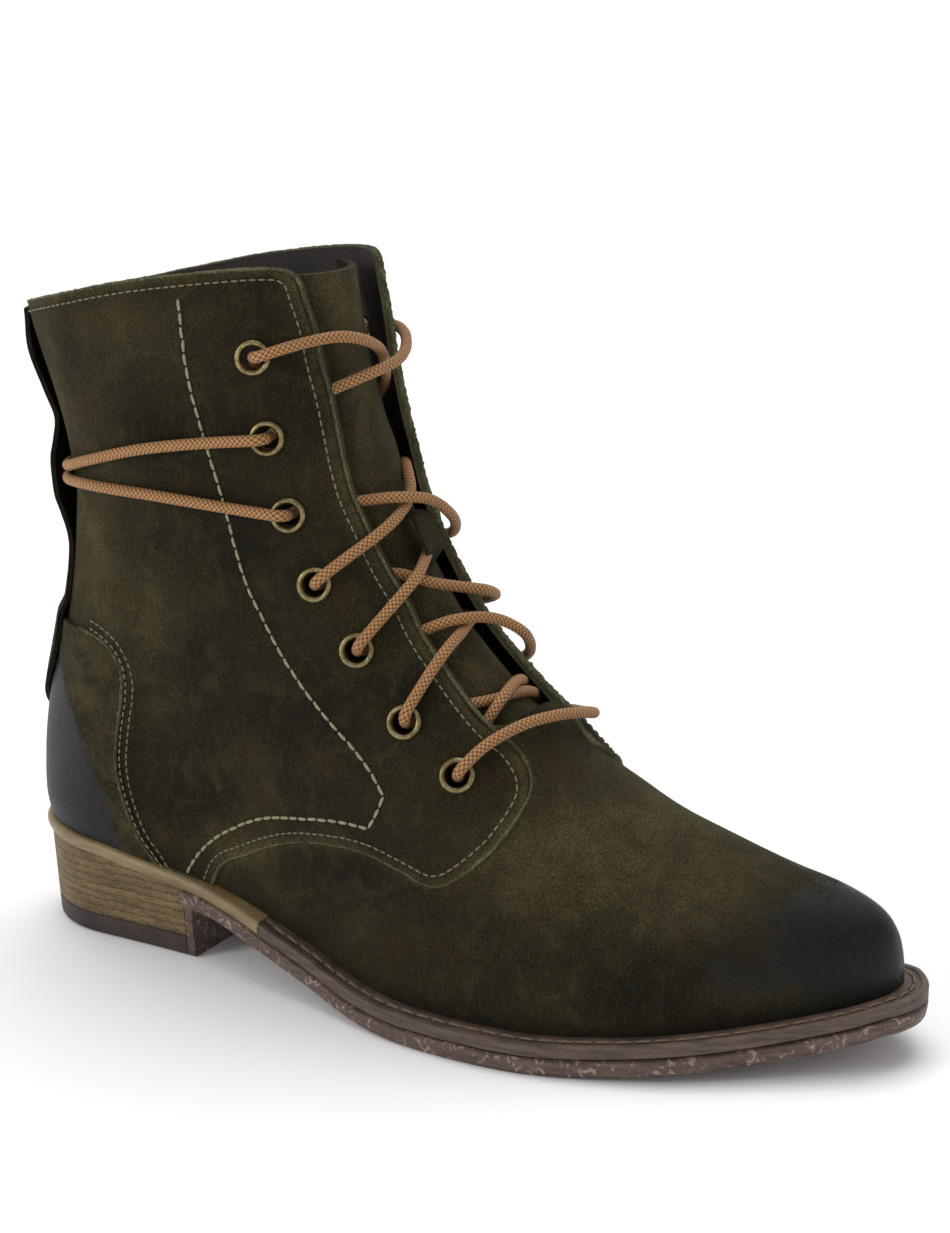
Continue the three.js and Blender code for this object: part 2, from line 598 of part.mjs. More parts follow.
// Tongue, from under the vamp to the collar
function tongueSolid() {
  const outside = -(WALL + TONGUE_DEPTH);
  const shell = lastSolid(outside).subtract(lastSolid(outside - TONGUE_THICKNESS));
  const wing = sideView(FACING_EDGE.map(({ along, up }) => ({ along: along - TONGUE_WING, up })));
  wing[0][1] = TONGUE_TOP * COLLAR_HEIGHT;
  const low = sideView(FACING_EDGE).pop();
  const root = [low[0] + TONGUE_ROOT * UPPER_LENGTH, low[1] - TONGUE_ROOT * UPPER_LENGTH * 0.6];
  const far = [root[0] + REACH / 8, root[1] + REACH / 8];
  return shell.intersect(prism([...wing, root, far, [far[0], wing[0][1]]]));
}

// Places along the boot where the plan and the seat are worked out, close together at the ends
function stations() {
  const start = backX(seatHeight(HEEL_BACK));
  const places = [];
  for (let i = 0; i <= PLAN_STATIONS; i += 1) {
    places.push(lerp(start, xAt(1), (1 - Math.cos((Math.PI * i) / PLAN_STATIONS)) / 2));
  }
  return places;
}

function edgeWidth(x) {
  const z = seatHeight(x);
  const half = BALL_WIDTH * smooth(SOLE_LINE, 'along', 'half', alongAt(x));
  const toe = roundOff(xAt(1) - x, TOE_ROUND, 2);
  const heel = roundOff(x - backX(z), backRound(z), BACK_POWER);
  const width = half * toe * heel;
  return Math.max(width - Math.min(EDGE_TUCK, width / 2) * clamp(width / 20, 0, 1), 0);
}

// Strip down the back seam: inner and outer face at one height
function stayLoop({ up, half, off }) {
  const z = up * COLLAR_HEIGHT;
  const counterTop = COUNTER_EDGE[0].up * COLLAR_HEIGHT;
  const overCounter = (COUNTER_THICKNESS + GAP) * smoothStep(counterTop + BACKSTAY_RISE, counterTop + 1, z);
  const inner = QUARTER_STEP + GAP * 2 + overCounter + off * LACE_DIAMETER;
  const reach = half * BACKSTAY_WIDTH;
  const points = [];
  for (let i = 0; i <= BACKSTAY_STEPS; i += 1) {
    points.push(backPoint(z, lerp(-reach, reach, i / BACKSTAY_STEPS)));
  }
  const face = (distance) => points.map(({ point, normal }) => point.clone().addScaledVector(normal, distance));
  return [...face(inner), ...face(inner + BACKSTAY_THICKNESS).reverse()];
}

// Point and outward normal of the back at a height and a sideways place
function backPoint(z, y) {
  const place = (sideways) => {
    const middle = locate(backX(z) + backRound(z) / 2, z);
    const half = skinPoint(middle.v, middle.t, 1).y / roundOff(1, 2, BACK_POWER);
    const share = clamp(Math.abs(sideways) / half, 0, 0.98);
    const x = backX(z) + backRound(z) * (1 - (1 - share ** BACK_POWER) ** (1 / BACK_POWER));
    return new THREE.Vector3(x, sideways, z);
  };
  const step = 0.5;
  const along = place(y + step).sub(place(y - step));
  return { point: place(y), normal: new THREE.Vector3(-along.y, along.x, 0).normalize() };
}

const backstaySolid = () => solidOf(loft(BACKSTAY.map(stayLoop)));

// Loop on the tongue that the lace runs through, where it crosses between the third and fourth eyelets
function keeperSolid() {
  const middle = (EYELETS[2].place.v + EYELETS[3].place.v) / 2;
  const rowStep = sectionPoint(middle - 0.5).distanceTo(sectionPoint(middle + 0.5));
  const seat = -(WALL + TONGUE_DEPTH) + GAP * 2;
  const loops = [];
  for (let i = 0; i <= KEEPER_STEPS; i += 1) {
    const share = lerp(-1, 1, i / KEEPER_STEPS);
    const v = middle + (share * KEEPER_LENGTH) / 2 / rowStep;
    const under = seat + KEEPER_ROOM * smoothStep(0.95, 0.6, Math.abs(share));
    const face = (off) => [-1, 0, 1].map((across) => overRidge(v, (across * KEEPER_WIDTH) / 2, off));
    loops.push([...face(under), ...face(under + KEEPER_THICKNESS).reverse()]);
  }
  return solidOf(loft(loops));
}

const sectionPoint = (v) => skinPoint(v, 0, 1);

// Point over section v at a sideways distance from its ridge
function overRidge(v, across, off) {
  const s = sectionAt(v);
  const share = Math.abs(across) / s.half;
  const t = (s.round / s.length) * (1 - (1 - share ** s.power) ** (1 / s.power));
  return offsetPoint(v, t, across < 0 ? -1 : 1, off);
}

// Brass ring through the wall of a facing
function eyeletSolid({ along, up }, where) {
  const hole = EYELET_HOLE / 2;
  const barrel = EYELET_BARREL / 2;
  const rim = EYELET_OUTER / 2;
  const top = EYELET_SEAT + EYELET_HEIGHT;
  const profile = [
    [hole, -(WALL + QUARTER_STEP + GAP)],
    [barrel, -(WALL + QUARTER_STEP + GAP)],
    [barrel, EYELET_SEAT],
    [rim, EYELET_SEAT],
    [hole, top],
  ];
  const points = [...profile, profile[0]].map(([r, h]) => new THREE.Vector2(r, h));
  const geometry = new THREE.LatheGeometry(points, EYELET_SIDES);
  const { point, normal } = onSkin(along, up, where, QUARTER_STEP);
  geometry.applyQuaternion(turnTo(normal));
  geometry.translate(...point.toArray());
  return solidOf(geometry);
}

// Round cord along points
function cord(points, steps) {
  const shape = new THREE.Shape();
  shape.absarc(0, 0, LACE_DIAMETER / 2, 0, Math.PI * 2);
  const extrudePath = new THREE.CatmullRomCurve3(points);
  const settings = { steps, curveSegments: LACE_SIDES / 2, extrudePath, bevelEnabled: false };
  return solidOf(new THREE.ExtrudeGeometry(shape, settings));
}

// Lace from an outer eyelet over the tongue to an inner eyelet, rows counted from the toe
function crossing(outerRow, innerRow) {
  const a = EYELETS[outerRow].place;
  const b = EYELETS[innerRow].place;
  const points = [];
  for (let i = 0; i <= CROSSING_STEPS; i += 1) {
    const share = i / CROSSING_STEPS;
    const u = lerp(-Math.sqrt(a.t), Math.sqrt(b.t), share);
    const onFacing = smoothStep(0.05, 0.5, Math.abs(share * 2 - 1));
    const off = lerp(LACE_OVER_TONGUE, LACE_OVER_EYELET, onFacing);
    points.push(offsetPoint(lerp(a.v, b.v, share), u * u, u < 0 ? -1 : 1, off));
  }
  return cord(points, CROSSING_STEPS);
}

// Lace from an outer eyelet round the back to an inner eyelet
function wrap(outerRow, innerRow, backUp) {
  const half = (row, where) => {
    const start = EYELETS[row];
    const points = [];
    for (let i = 0; i < WRAP_STEPS; i += 1) {
      const turn = Math.sin((Math.PI / 2) * (i / WRAP_STEPS));
      const z = COLLAR_HEIGHT * lerp(start.up, backUp, turn);
      const x = lerp(xAt(start.along), backX(z), turn);
      const { v, t } = locate(x, z);
      const off = lerp(LACE_OVER_EYELET, LACE_OVER_QUARTER, smoothStep(0, 0.35, turn));
      points.push(offsetPoint(v, t, where, off));
    }
    return points;
  };
  const z = backUp * COLLAR_HEIGHT;
  const middle = new THREE.Vector3(backX(z) - LACE_OVER_QUARTER, 0, z);
  return cord([...half(outerRow, -1), middle, ...half(innerRow, 1).reverse()], WRAP_STEPS * 2 + 4);
}

function laceSolid() {
  const pairs = [[0, 0], [0, 1], [1, 0], [1, 2], [2, 1], [2, 3], [3, 2], [3, 4], [4, 3], [5, 6], [6, 5]];
  const wraps = [wrap(5, 4, LACE_BACK.upper), wrap(4, 5, LACE_BACK.lower)];
  return union([...pairs.map(([a, b]) => crossing(a, b)), ...wraps]);
}

// Plan of the upper's lower edge, back point first, then the outer side, the toe and the inner side
function planLine() {
  const outer = [];
  const inner = [];
  for (const x of stations()) {
    const shift = BALL_WIDTH * smooth(SOLE_LINE, 'along', 'shift', alongAt(x));
    outer.push(new THREE.Vector2(x, shift - edgeWidth(x)));
    inner.push(new THREE.Vector2(x, shift + edgeWidth(x)));
  }
  return [...outer, ...inner.slice(1, -1).reverse()];
}

// Plan line moved outward by a width that may vary along the boot
function planOffset(width) {
  const line = planLine();
  return line.map((point, i) => {
    const before = line[(i + line.length - 1) % line.length];
    const after = line[(i + 1) % line.length];
    const along = after.clone().sub(before).normalize();
    const out = new THREE.Vector2(along.y, -along.x);
    return point.clone().addScaledVector(out, width(point.x));
  });
}

// Width of the ledge round the upper, narrower at the heel
function ledge(x) {
  return lerp(RAND_WIDTH, WELT_WIDTH, smoothStep(HEEL_BREAST_X, WELT_NOTCH_X + WELT_WIDTH * 2, x));
}

// Flat body with the boot's plan: levels from the top down, each with its inset and its height at x
function plate(levels, ledgeWidth = ledge) {
  const rings = levels.map(({ inset, height }) =>
    planOffset((x) => ledgeWidth(x) - inset).map((p) => new THREE.Vector3(p.x, p.y, height(p.x))),
  );
  const count = rings[0].length;
  const vertices = rings.flat();
  const triangles = [];
  for (let level = 0; level < rings.length - 1; level += 1) {
    for (let i = 0; i < count; i += 1) {
      const next = (i + 1) % count;
      const a = level * count + i;
      const b = level * count + next;
      triangles.push([a, a + count, b], [b, a + count, b + count]);
    }
  }
  const across = (i) => (count - i) % count;
  const base = (rings.length - 1) * count;
  for (let i = 0; i < PLAN_STATIONS; i += 1) {
    const [a, b, c, d] = [i, i + 1, across(i + 1), across(i)];
    for (const [p, q, r] of [[a, b, c], [a, c, d]]) {
      if (p === q || q === r || r === p) continue;
      triangles.push([p, q, r], [base + p, base + r, base + q]);
    }
  }
  return solidOf(closedGeometry(vertices, triangles));
}

const beyond = (x) => box([x, -REACH, -REACH], [REACH, REACH, REACH]);
const before = (x) => box([-REACH, -REACH, -REACH], [x, REACH, REACH]);

function heelBody(top, bottom, roundEdge) {
  const drawn = (z) => HEEL_TAPER * (1 - z / seatHeight(HEEL_BACK)) + GROOVE_DEPTH;
  const levels = [{ inset: drawn(top(0)), height: top }];
  if (roundEdge) levels.push({ inset: drawn(bottom + roundEdge), height: () => bottom + roundEdge });
  levels.push({ inset: drawn(bottom) + roundEdge, height: () => bottom });
  return plate(levels);
}

function outsoleSolid() {
  const layer = plate([
    { inset: GROOVE_DEPTH, height: soleTop },
    { inset: 0, height: (x) => soleTop(x) - GROOVE_HEIGHT / 2 },
    { inset: 0, height: (x) => underside(x) + SOLE_ROUND },
    { inset: SOLE_ROUND, height: underside },
  ]);
  const turned = heelBody(soleTop, 0, LIFT_ROUND).intersect(before(HEEL_BREAST_X));
  const whole = layer.intersect(beyond(HEEL_FRONT)).add(turned.intersect(beyond(HEEL_FRONT)));
  return whole.subtract(union(TREAD_CUTS.map(treadCut)));
}

function treadCut({ along }) {
  const x = xAt(along);
  const z = underside(x);
  return box([x, -REACH, z - REACH], [x + NOTCH_WIDTH, REACH, z + NOTCH_DEPTH]);
}

function upperLayer() {
  return plate([
    { inset: WELT_ROUND, height: weltTop },
    { inset: 0, height: (x) => weltTop(x) - WELT_ROUND },
    { inset: 0, height: (x) => weltBottom(x) + GROOVE_HEIGHT / 2 },
    { inset: GROOVE_DEPTH, height: weltBottom },
  ]);
}

function randLayer() {
  return plate([
    { inset: RAND_WIDTH * 0.45, height: weltTop },
    { inset: RAND_WIDTH * 0.12, height: (x) => weltTop(x) - WELT_THICKNESS * 0.2 },
    { inset: 0, height: (x) => weltTop(x) - WELT_THICKNESS * 0.55 },
    { inset: GROOVE_DEPTH, height: weltBottom },
  ]);
}

function insoleSolid() {
  const sheet = plate(
    [
      { inset: 0, height: (x) => seatHeight(x) + INSOLE_THICKNESS },
      { inset: 0, height: seatHeight },
    ],
    () => 0,
  );
  return sheet.intersect(lastSolid(-(WALL + GAP)));
}

const heelFront = before(HEEL_FRONT - GAP);
const heelBlock = heelBody((x) => weltBottom(x) - GAP, LIFT_THICKNESS + GAP, 0).intersect(heelFront);
const heelLift = heelBody(() => LIFT_THICKNESS, 0, LIFT_ROUND).intersect(heelFront);

const suede = new THREE.MeshStandardMaterial({ color: 0x3a3826, roughness: 0.95, metalness: 0 });
const burnished = new THREE.MeshStandardMaterial({ color: 0x2a2b33, roughness: 0.6, metalness: 0 });
const darkLeather = new THREE.MeshStandardMaterial({ color: 0x1d1c1a, roughness: 0.8, metalness: 0 });
const tread = new THREE.MeshStandardMaterial({ color: 0x6a5850, roughness: 0.8, metalness: 0 });
const trim = new THREE.MeshStandardMaterial({ color: 0x73624f, roughness: 0.6, metalness: 0 });
const stack = new THREE.MeshStandardMaterial({ color: 0x7d6a42, roughness: 0.85, metalness: 0 });
const lift = new THREE.MeshStandardMaterial({ color: 0x443530, roughness: 0.7, metalness: 0 });
const lining = new THREE.MeshStandardMaterial({ color: 0x2b221f, roughness: 0.9, metalness: 0 });
const brass = new THREE.MeshStandardMaterial({ color: 0x96876a, roughness: 0.4, metalness: 0.9 });
const braid = new THREE.MeshStandardMaterial({ color: 0xb28052, roughness: 0.8, metalness: 0 });

const boot = new THREE.Group();

function addPiece(name, solid, material) {
  const mesh = new THREE.Mesh(geometryOf(solid), material);
  mesh.name = name;
  boot.add(mesh);
}

addPiece('outsole', outsoleSolid(), tread);
addPiece('welt', upperLayer().intersect(beyond(WELT_NOTCH_X)), trim);
addPiece('heel_rand', randLayer().intersect(before(WELT_NOTCH_X - GAP)), trim);
addPiece('heel_block', heelBlock, stack);
addPiece('heel_lift', heelLift, lift);
addPiece('insole', insoleSolid(), lining);
addPiece('upper', upperSolid(), suede);
addPiece('counter', counterSolid(), burnished);
addPiece('tongue', tongueSolid(), suede);
addPiece('backstay', backstaySolid(), darkLeather);
addPiece('tongue_keeper', keeperSolid(), suede);
EYELETS.forEach((row, i) => {
  addPiece(`eyelet_outer_${i + 1}`, eyeletSolid(row, -1), brass);
  addPiece(`eyelet_inner_${i + 1}`, eyeletSolid(row, 1), brass);
});
addPiece('lace', laceSolid(), braid);

export default boot;
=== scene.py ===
# Looks of the ankle boot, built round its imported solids. Lengths are millimetres until a mesh is made.
import math

import bpy
import numpy as np
from mathutils import Matrix, Vector
from mathutils.kdtree import KDTree

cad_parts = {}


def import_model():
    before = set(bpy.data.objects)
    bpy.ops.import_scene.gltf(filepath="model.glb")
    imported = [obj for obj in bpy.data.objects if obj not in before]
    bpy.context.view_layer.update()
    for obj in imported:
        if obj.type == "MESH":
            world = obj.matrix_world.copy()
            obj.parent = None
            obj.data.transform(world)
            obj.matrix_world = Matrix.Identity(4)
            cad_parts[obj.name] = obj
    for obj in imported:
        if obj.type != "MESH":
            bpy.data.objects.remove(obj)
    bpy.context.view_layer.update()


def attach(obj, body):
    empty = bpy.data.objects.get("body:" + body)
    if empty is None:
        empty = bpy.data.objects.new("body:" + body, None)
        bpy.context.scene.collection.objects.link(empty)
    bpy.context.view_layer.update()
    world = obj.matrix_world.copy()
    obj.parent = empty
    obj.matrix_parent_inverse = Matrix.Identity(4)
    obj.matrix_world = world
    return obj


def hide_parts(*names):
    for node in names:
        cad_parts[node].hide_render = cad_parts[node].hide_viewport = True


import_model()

MM = 0.001
OUTER, INNER = -1, 1
rng = np.random.default_rng(7)

# Upper
UPPER_LENGTH = 268.0
HEEL_BACK = -29.4
COLLAR_HEIGHT = 206.0
BALL_WIDTH = 89.0
SHAFT_WIDTH = 71.0
TOE_ROUND = 90.0
WALL = 1.6
QUARTER_STEP = 1.2
EDGE_TUCK = 1.8
EDGE_TUCK_HEIGHT = 13.0
COUNTER_THICKNESS = 1.2
BACKSTAY_THICKNESS = 1.4
BACKSTAY_WIDTH = 38.0
TONGUE_THICKNESS = 2.2
TONGUE_DEPTH = 1.6
TONGUE_SAG = 1.8
TONGUE_SAG_TOP = 4.0
KEEPER_WIDTH = 9.0
KEEPER_LENGTH = 17.0
KEEPER_ROOM = 4.9
KEEPER_THICKNESS = 1.2
INSOLE_THICKNESS = 2.5

# Sole and heel
SOLE_THICKNESS = 5.0
WELT_THICKNESS = 4.0
HEEL_RISE = 23.9
TOE_SPRING = 11.2
WELT_WIDTH = 6.5
RAND_WIDTH = 4.2
GROOVE_DEPTH = 0.9
GROOVE_HEIGHT = 0.9
WELT_NOTCH_X = 63.0
HEEL_BREAST_X = 34.0
HEEL_TAPER = 2.2
LIFT_THICKNESS = 6.5
LIFT_ROUND = 1.4
BREAST_THICKNESS = 2.6

# Eyelets and lace
EYELET_OUTER = 10.0
EYELET_HOLE = 6.0
EYELET_HEIGHT = 1.1
EYELET_BARREL = 7.0
LACE_DIAMETER = 3.2

GAP = 0.3
REACH = 400.0


def table(columns, rows):
    """Columns of a table by name."""
    return dict(zip(columns.split(), np.array(rows, float).T))


# Line of the sole, shares as in the solids
SOLE_LINE = table("along seat spring half shift", [
    (0.0, 1.0, 0, 0.315, 0), (0.06, 0.965, 0, 0.309, 0), (0.115, 0.89, 0, 0.292, -0.003),
    (0.155, 0.815, 0, 0.292, -0.006), (0.205, 0.74, 0, 0.292, -0.014), (0.263, 0.645, 0, 0.292, -0.028),
    (0.304, 0.56, 0, 0.298, -0.045), (0.349, 0.445, 0, 0.309, -0.062), (0.416, 0.23, 0, 0.332, -0.079),
    (0.472, 0.075, 0, 0.371, -0.093), (0.52, 0.013, 0, 0.416, -0.092), (0.565, 0, 0, 0.455, -0.079),
    (0.629, 0, 0, 0.489, -0.056), (0.688, 0, 0, 0.5, -0.031), (0.755, 0, 0.09, 0.489, -0.003),
    (0.811, 0, 0.215, 0.472, 0.018), (0.871, 0, 0.36, 0.444, 0.054), (0.927, 0, 0.57, 0.421, 0.084),
    (0.972, 0, 0.78, 0.416, 0.098), (1.0, 0, 0.94, 0.416, 0.107),
])

BACK_LINE = table("up lean round", [
    (0.16, 0.003, 0.465), (0.205, 0, 0.49), (0.29, 0.004, 0.535), (0.37, 0.016, 0.56),
    (0.475, 0.037, 0.595), (0.58, 0.054, 0.62), (0.67, 0.058, 0.645), (0.75, 0.049, 0.665),
    (0.81, 0.035, 0.68), (0.91, 0.008, 0.7), (1.0, -0.006, 0.71),
])

# Sections of the last. low is the place on the sole line up to row 15, back the height on the back seam
# after it.
SECTIONS = table("along up low back half shaft shift round power", [
    (0.9985, 0.114, 0.9985, 0, 0.416, 0, 0.107, 0.135, 2.2),
    (0.996, 0.146, 0.996, 0, 0.416, 0, 0.107, 0.225, 2.2),
    (0.988, 0.175, 0.987, 0, 0.416, 0, 0.101, 0.303, 2.2),
    (0.968, 0.199, 0.968, 0, 0.416, 0, 0.098, 0.371, 2.2),
    (0.927, 0.221, 0.927, 0, 0.421, 0, 0.084, 0.427, 2.15),
    (0.871, 0.24, 0.867, 0, 0.444, 0, 0.054, 0.472, 2.1),
    (0.811, 0.267, 0.804, 0, 0.472, 0, 0.02, 0.517, 2.05),
    (0.748, 0.299, 0.733, 0, 0.489, 0, 0, 0.562, 2.0),
    (0.688, 0.345, 0.658, 0, 0.478, 0, -0.028, 0.584, 2.0),
    (0.634, 0.41, 0.576, 0, 0.444, 0, -0.045, 0.584, 2.0),
    (0.584, 0.473, 0.487, 0, 0.426, 0.25, -0.056, 0.562, 2.0),
    (0.533, 0.541, 0.382, 0, 0.419, 0.5, -0.045, 0.528, 2.0),
    (0.49, 0.619, 0.263, 0, 0.437, 0.75, -0.028, 0.494, 2.0),
    (0.46, 0.692, 0.14, 0, 0.465, 1, -0.011, 0.472, 2.0),
    (0.444, 0.755, 0.035, 0, 0.465, 1, 0, 0.461, 2.0),
    (0.439, 0.777, 0.003, 0, 0.465, 1, 0, 0.455, 2.0),
    (0.434, 0.8, 0, 0.243, 0.465, 1, 0, 0.449, 2.0),
    (0.427, 0.842, 0, 0.369, 0.469, 1, 0, 0.449, 2.0),
    (0.42, 0.879, 0, 0.476, 0.475, 1, 0, 0.449, 2.0),
    (0.416, 0.915, 0, 0.583, 0.482, 1, 0, 0.449, 2.0),
    (0.412, 0.951, 0, 0.694, 0.493, 1, 0, 0.461, 2.0),
    (0.408, 0.988, 0, 0.806, 0.5, 1, 0, 0.472, 2.0),
    (0.407, 1.024, 0, 0.913, 0.507, 1, 0, 0.483, 2.0),
    (0.405, 1.063, 0, 1.0, 0.514, 1, 0, 0.494, 2.0),
])
LAST_ON_SOLE = 15
TOP_ROW = 23
HEEL_BLEND = 4.5

# Side view of the edges: along and up as shares, inner: how much further forward on the inner side
COLLAR_EDGE = [
    (-0.03, 0.918, 0), (0.01, 0.922, 0), (0.11, 0.951, 0), (0.2, 0.976, 0), (0.29, 0.993, 0),
    (0.35, 0.999, 0), (0.372, 0.99, 0), (0.38, 0.96, 0),
]
FACING_EDGE = [
    (0.38, 0.96, 0), (0.389, 0.92, 0), (0.397, 0.867, 0), (0.405, 0.828, 0), (0.419, 0.749, 0),
    (0.432, 0.697, 0), (0.455, 0.639, 0), (0.473, 0.601, 0), (0.491, 0.569, 0.002), (0.517, 0.52, 0.004),
    (0.555, 0.467, 0.008), (0.598, 0.415, 0.014),
]
QUARTER_EDGE = [
    (0.598, 0.415, 0.014), (0.623, 0.391, 0.02), (0.642, 0.362, 0.024), (0.648, 0.335, 0.024),
    (0.64, 0.301, 0.02), (0.621, 0.263, 0.014), (0.579, 0.22, 0.006), (0.537, 0.229, 0),
    (0.497, 0.239, 0), (0.452, 0.239, 0), (0.398, 0.229, 0), (0.355, 0.21, 0), (0.317, 0.185, 0),
    (0.282, 0.16, 0), (0.262, 0.12, 0), (0.255, 0.05, 0),
]
THROAT_LIP = (0.6265, 0.432, 0)
COUNTER_EDGE = [
    (0.103, 0.472, 0), (0.133, 0.468, 0), (0.156, 0.453, 0), (0.167, 0.424, 0), (0.165, 0.39, 0),
    (0.157, 0.343, 0), (0.149, 0.286, 0), (0.151, 0.238, 0), (0.162, 0.192, 0), (0.175, 0.163, 0),
    (0.19, 0.139, 0), (0.21, 0.08, 0),
]
# Decorative seam of thick thread, in millimetres of the side view
THICK_SEAM = [
    [(42.4, 197.8), (44.2, 178.8), (47.8, 162.2), (53.0, 144.6), (59.6, 121.6), (68.4, 106.9),
     (80.6, 92.0), (98.5, 76.7), (107.0, 66.8)],
    [(107.0, 66.8), (105.0, 61.5), (102.3, 56.9)],
    [(102.3, 56.9), (90.0, 56.4), (78.4, 54.6), (64.0, 51.2), (52.6, 46.0), (43.0, 39.5), (36.0, 32.0),
     (32.5, 27.0)],
]
BACKSTAY = table("up half off", [
    (0.914, 0.4, 0), (0.9, 0.41, 0.15), (0.855, 0.42, 0.75), (0.8, 0.43, 0.5), (0.765, 0.44, 0.25),
    (0.735, 0.445, 0.8), (0.71, 0.45, 1.35), (0.685, 0.455, 1.5), (0.655, 0.46, 1.4), (0.63, 0.465, 0.9),
    (0.6, 0.47, 0.3), (0.57, 0.48, 0.05), (0.51, 0.5, 0), (0.476, 0.5, 0), (0.41, 0.5, 0),
    (0.36, 0.37, 0), (0.32, 0.19, 0), (0.292, 0.02, 0),
])
EYELETS = [
    (0.582, 0.36), (0.52, 0.42), (0.461, 0.506), (0.411, 0.588), (0.379, 0.678), (0.356, 0.779),
    (0.342, 0.885),
]


# Curves and the skin of the last

def smooth_step(a, b, x):
    t = np.clip((np.asarray(x, float) - a) / (b - a), 0, 1)
    return t * t * (3 - 2 * t)


def round_off(distance, length, power):
    u = np.clip(distance / length, 0, 1)
    return (1 - (1 - u) ** power) ** (1 / power)


def smooth(keys, values, x):
    """Hermite curve through values at rising keys."""
    x = np.clip(np.asarray(x, float), keys[0], keys[-1])
    last = len(keys) - 1
    slopes = np.array([
        (values[min(j + 1, last)] - values[max(j - 1, 0)]) / (keys[min(j + 1, last)] - keys[max(j - 1, 0)])
        for j in range(last + 1)
    ])
    i = np.clip(np.searchsorted(keys, x, side="left") - 1, 0, last - 1)
    span = keys[i + 1] - keys[i]
    t = (x - keys[i]) / span
    rise = values[i + 1] - values[i]
    bend = (slopes[i] * (1 - t) - slopes[i + 1] * t) * span - rise * (1 - 2 * t)
    return values[i] + rise * t + bend * t * (1 - t)


def by_row(values, v):
    """Smooth curve through values by row number."""
    ends = np.concatenate([[2 * values[0] - values[1]], values, [2 * values[-1] - values[-2]]])
    i = np.clip(np.floor(v).astype(int), 0, len(values) - 2)
    t = v - i
    p0, p1, p2, p3 = ends[i], ends[i + 1], ends[i + 2], ends[i + 3]
    square = 2 * p0 - 5 * p1 + 4 * p2 - p3
    cube = 3 * p1 - p0 - 3 * p2 + p3
    return 0.5 * (2 * p1 + (p2 - p0) * t + square * t * t + cube * t ** 3)


def x_at(along):
    return HEEL_BACK + np.asarray(along, float) * UPPER_LENGTH


def sole_value(column, x):
    return smooth(SOLE_LINE["along"], SOLE_LINE[column], (np.asarray(x, float) - HEEL_BACK) / UPPER_LENGTH)


def underside(x):
    return np.maximum(HEEL_RISE * sole_value("seat", x) + TOE_SPRING * sole_value("spring", x), 0)


def sole_top(x):
    return underside(x) + SOLE_THICKNESS


def welt_bottom(x):
    return sole_top(x) + GAP


def welt_top(x):
    return welt_bottom(x) + WELT_THICKNESS


def seat_height(x):
    return welt_top(x) + GAP


def back_x(z):
    return HEEL_BACK + UPPER_LENGTH * smooth(BACK_LINE["up"], BACK_LINE["lean"], z / COLLAR_HEIGHT)


def back_round(z):
    return SHAFT_WIDTH * smooth(BACK_LINE["up"], BACK_LINE["round"], z / COLLAR_HEIGHT)


def section(v):
    v = np.asarray(v, float)
    on_sole = v <= LAST_ON_SOLE
    front_x = x_at(by_row(SECTIONS["along"], v))
    front_z = COLLAR_HEIGHT * by_row(SECTIONS["up"], v)
    sole_rows = SECTIONS["low"][: LAST_ON_SOLE + 1]
    low_x = x_at(by_row(sole_rows, np.minimum(v, LAST_ON_SOLE)))
    start = seat_height(x_at(SECTIONS["low"][LAST_ON_SOLE])) / COLLAR_HEIGHT
    backs = np.concatenate([[start], SECTIONS["back"][LAST_ON_SOLE + 1:]])
    back_z = COLLAR_HEIGHT * by_row(backs, np.maximum(v - LAST_ON_SOLE, 0))
    low_z = np.where(on_sole, seat_height(low_x), back_z)
    low_x = np.where(on_sole, low_x, back_x(back_z))
    width = BALL_WIDTH + (SHAFT_WIDTH - BALL_WIDTH) * by_row(SECTIONS["shaft"], v)
    half = width * by_row(SECTIONS["half"], v)
    shift = BALL_WIDTH * by_row(SECTIONS["shift"], v)
    fade = smooth_step(LAST_ON_SOLE, LAST_ON_SOLE + HEEL_BLEND, v)
    low_half = BALL_WIDTH * sole_value("half", low_x)
    low_shift = BALL_WIDTH * sole_value("shift", low_x)
    return {
        "front_x": front_x, "front_z": front_z, "low_x": low_x, "low_z": low_z,
        "length": np.hypot(low_x - front_x, low_z - front_z), "half": half, "shift": shift,
        "low_half": low_half + (half - low_half) * fade,
        "low_shift": low_shift + (shift - low_shift) * fade,
        "round": BALL_WIDTH * by_row(SECTIONS["round"], v), "power": by_row(SECTIONS["power"], v),
    }


def skin(v, t, side):
    """Points of the last's skin, side -1 outer or 1 inner."""
    v, t, side = np.broadcast_arrays(np.asarray(v, float), np.asarray(t, float), side)
    s = section(v)
    x = s["front_x"] + (s["low_x"] - s["front_x"]) * t
    z = s["front_z"] + (s["low_z"] - s["front_z"]) * t
    mix = smooth_step(0.35, 1, t)
    half = s["half"] + (s["low_half"] - s["half"]) * mix
    shift = s["shift"] + (s["low_shift"] - s["shift"]) * mix
    toe = round_off(x_at(1) - x, TOE_ROUND, 2)
    heel = round_off(x - back_x(z), back_round(z), 2.1)
    width = half * round_off(t * s["length"], s["round"], s["power"]) * toe * heel
    over = np.clip(1 - (z - seat_height(x)) / EDGE_TUCK_HEIGHT, 0, 1.5)
    width = width - np.minimum(EDGE_TUCK * over * over, width / 2) * np.clip(width / 20, 0, 1)
    return np.stack([x, shift + side * np.maximum(width, 0), z], -1)


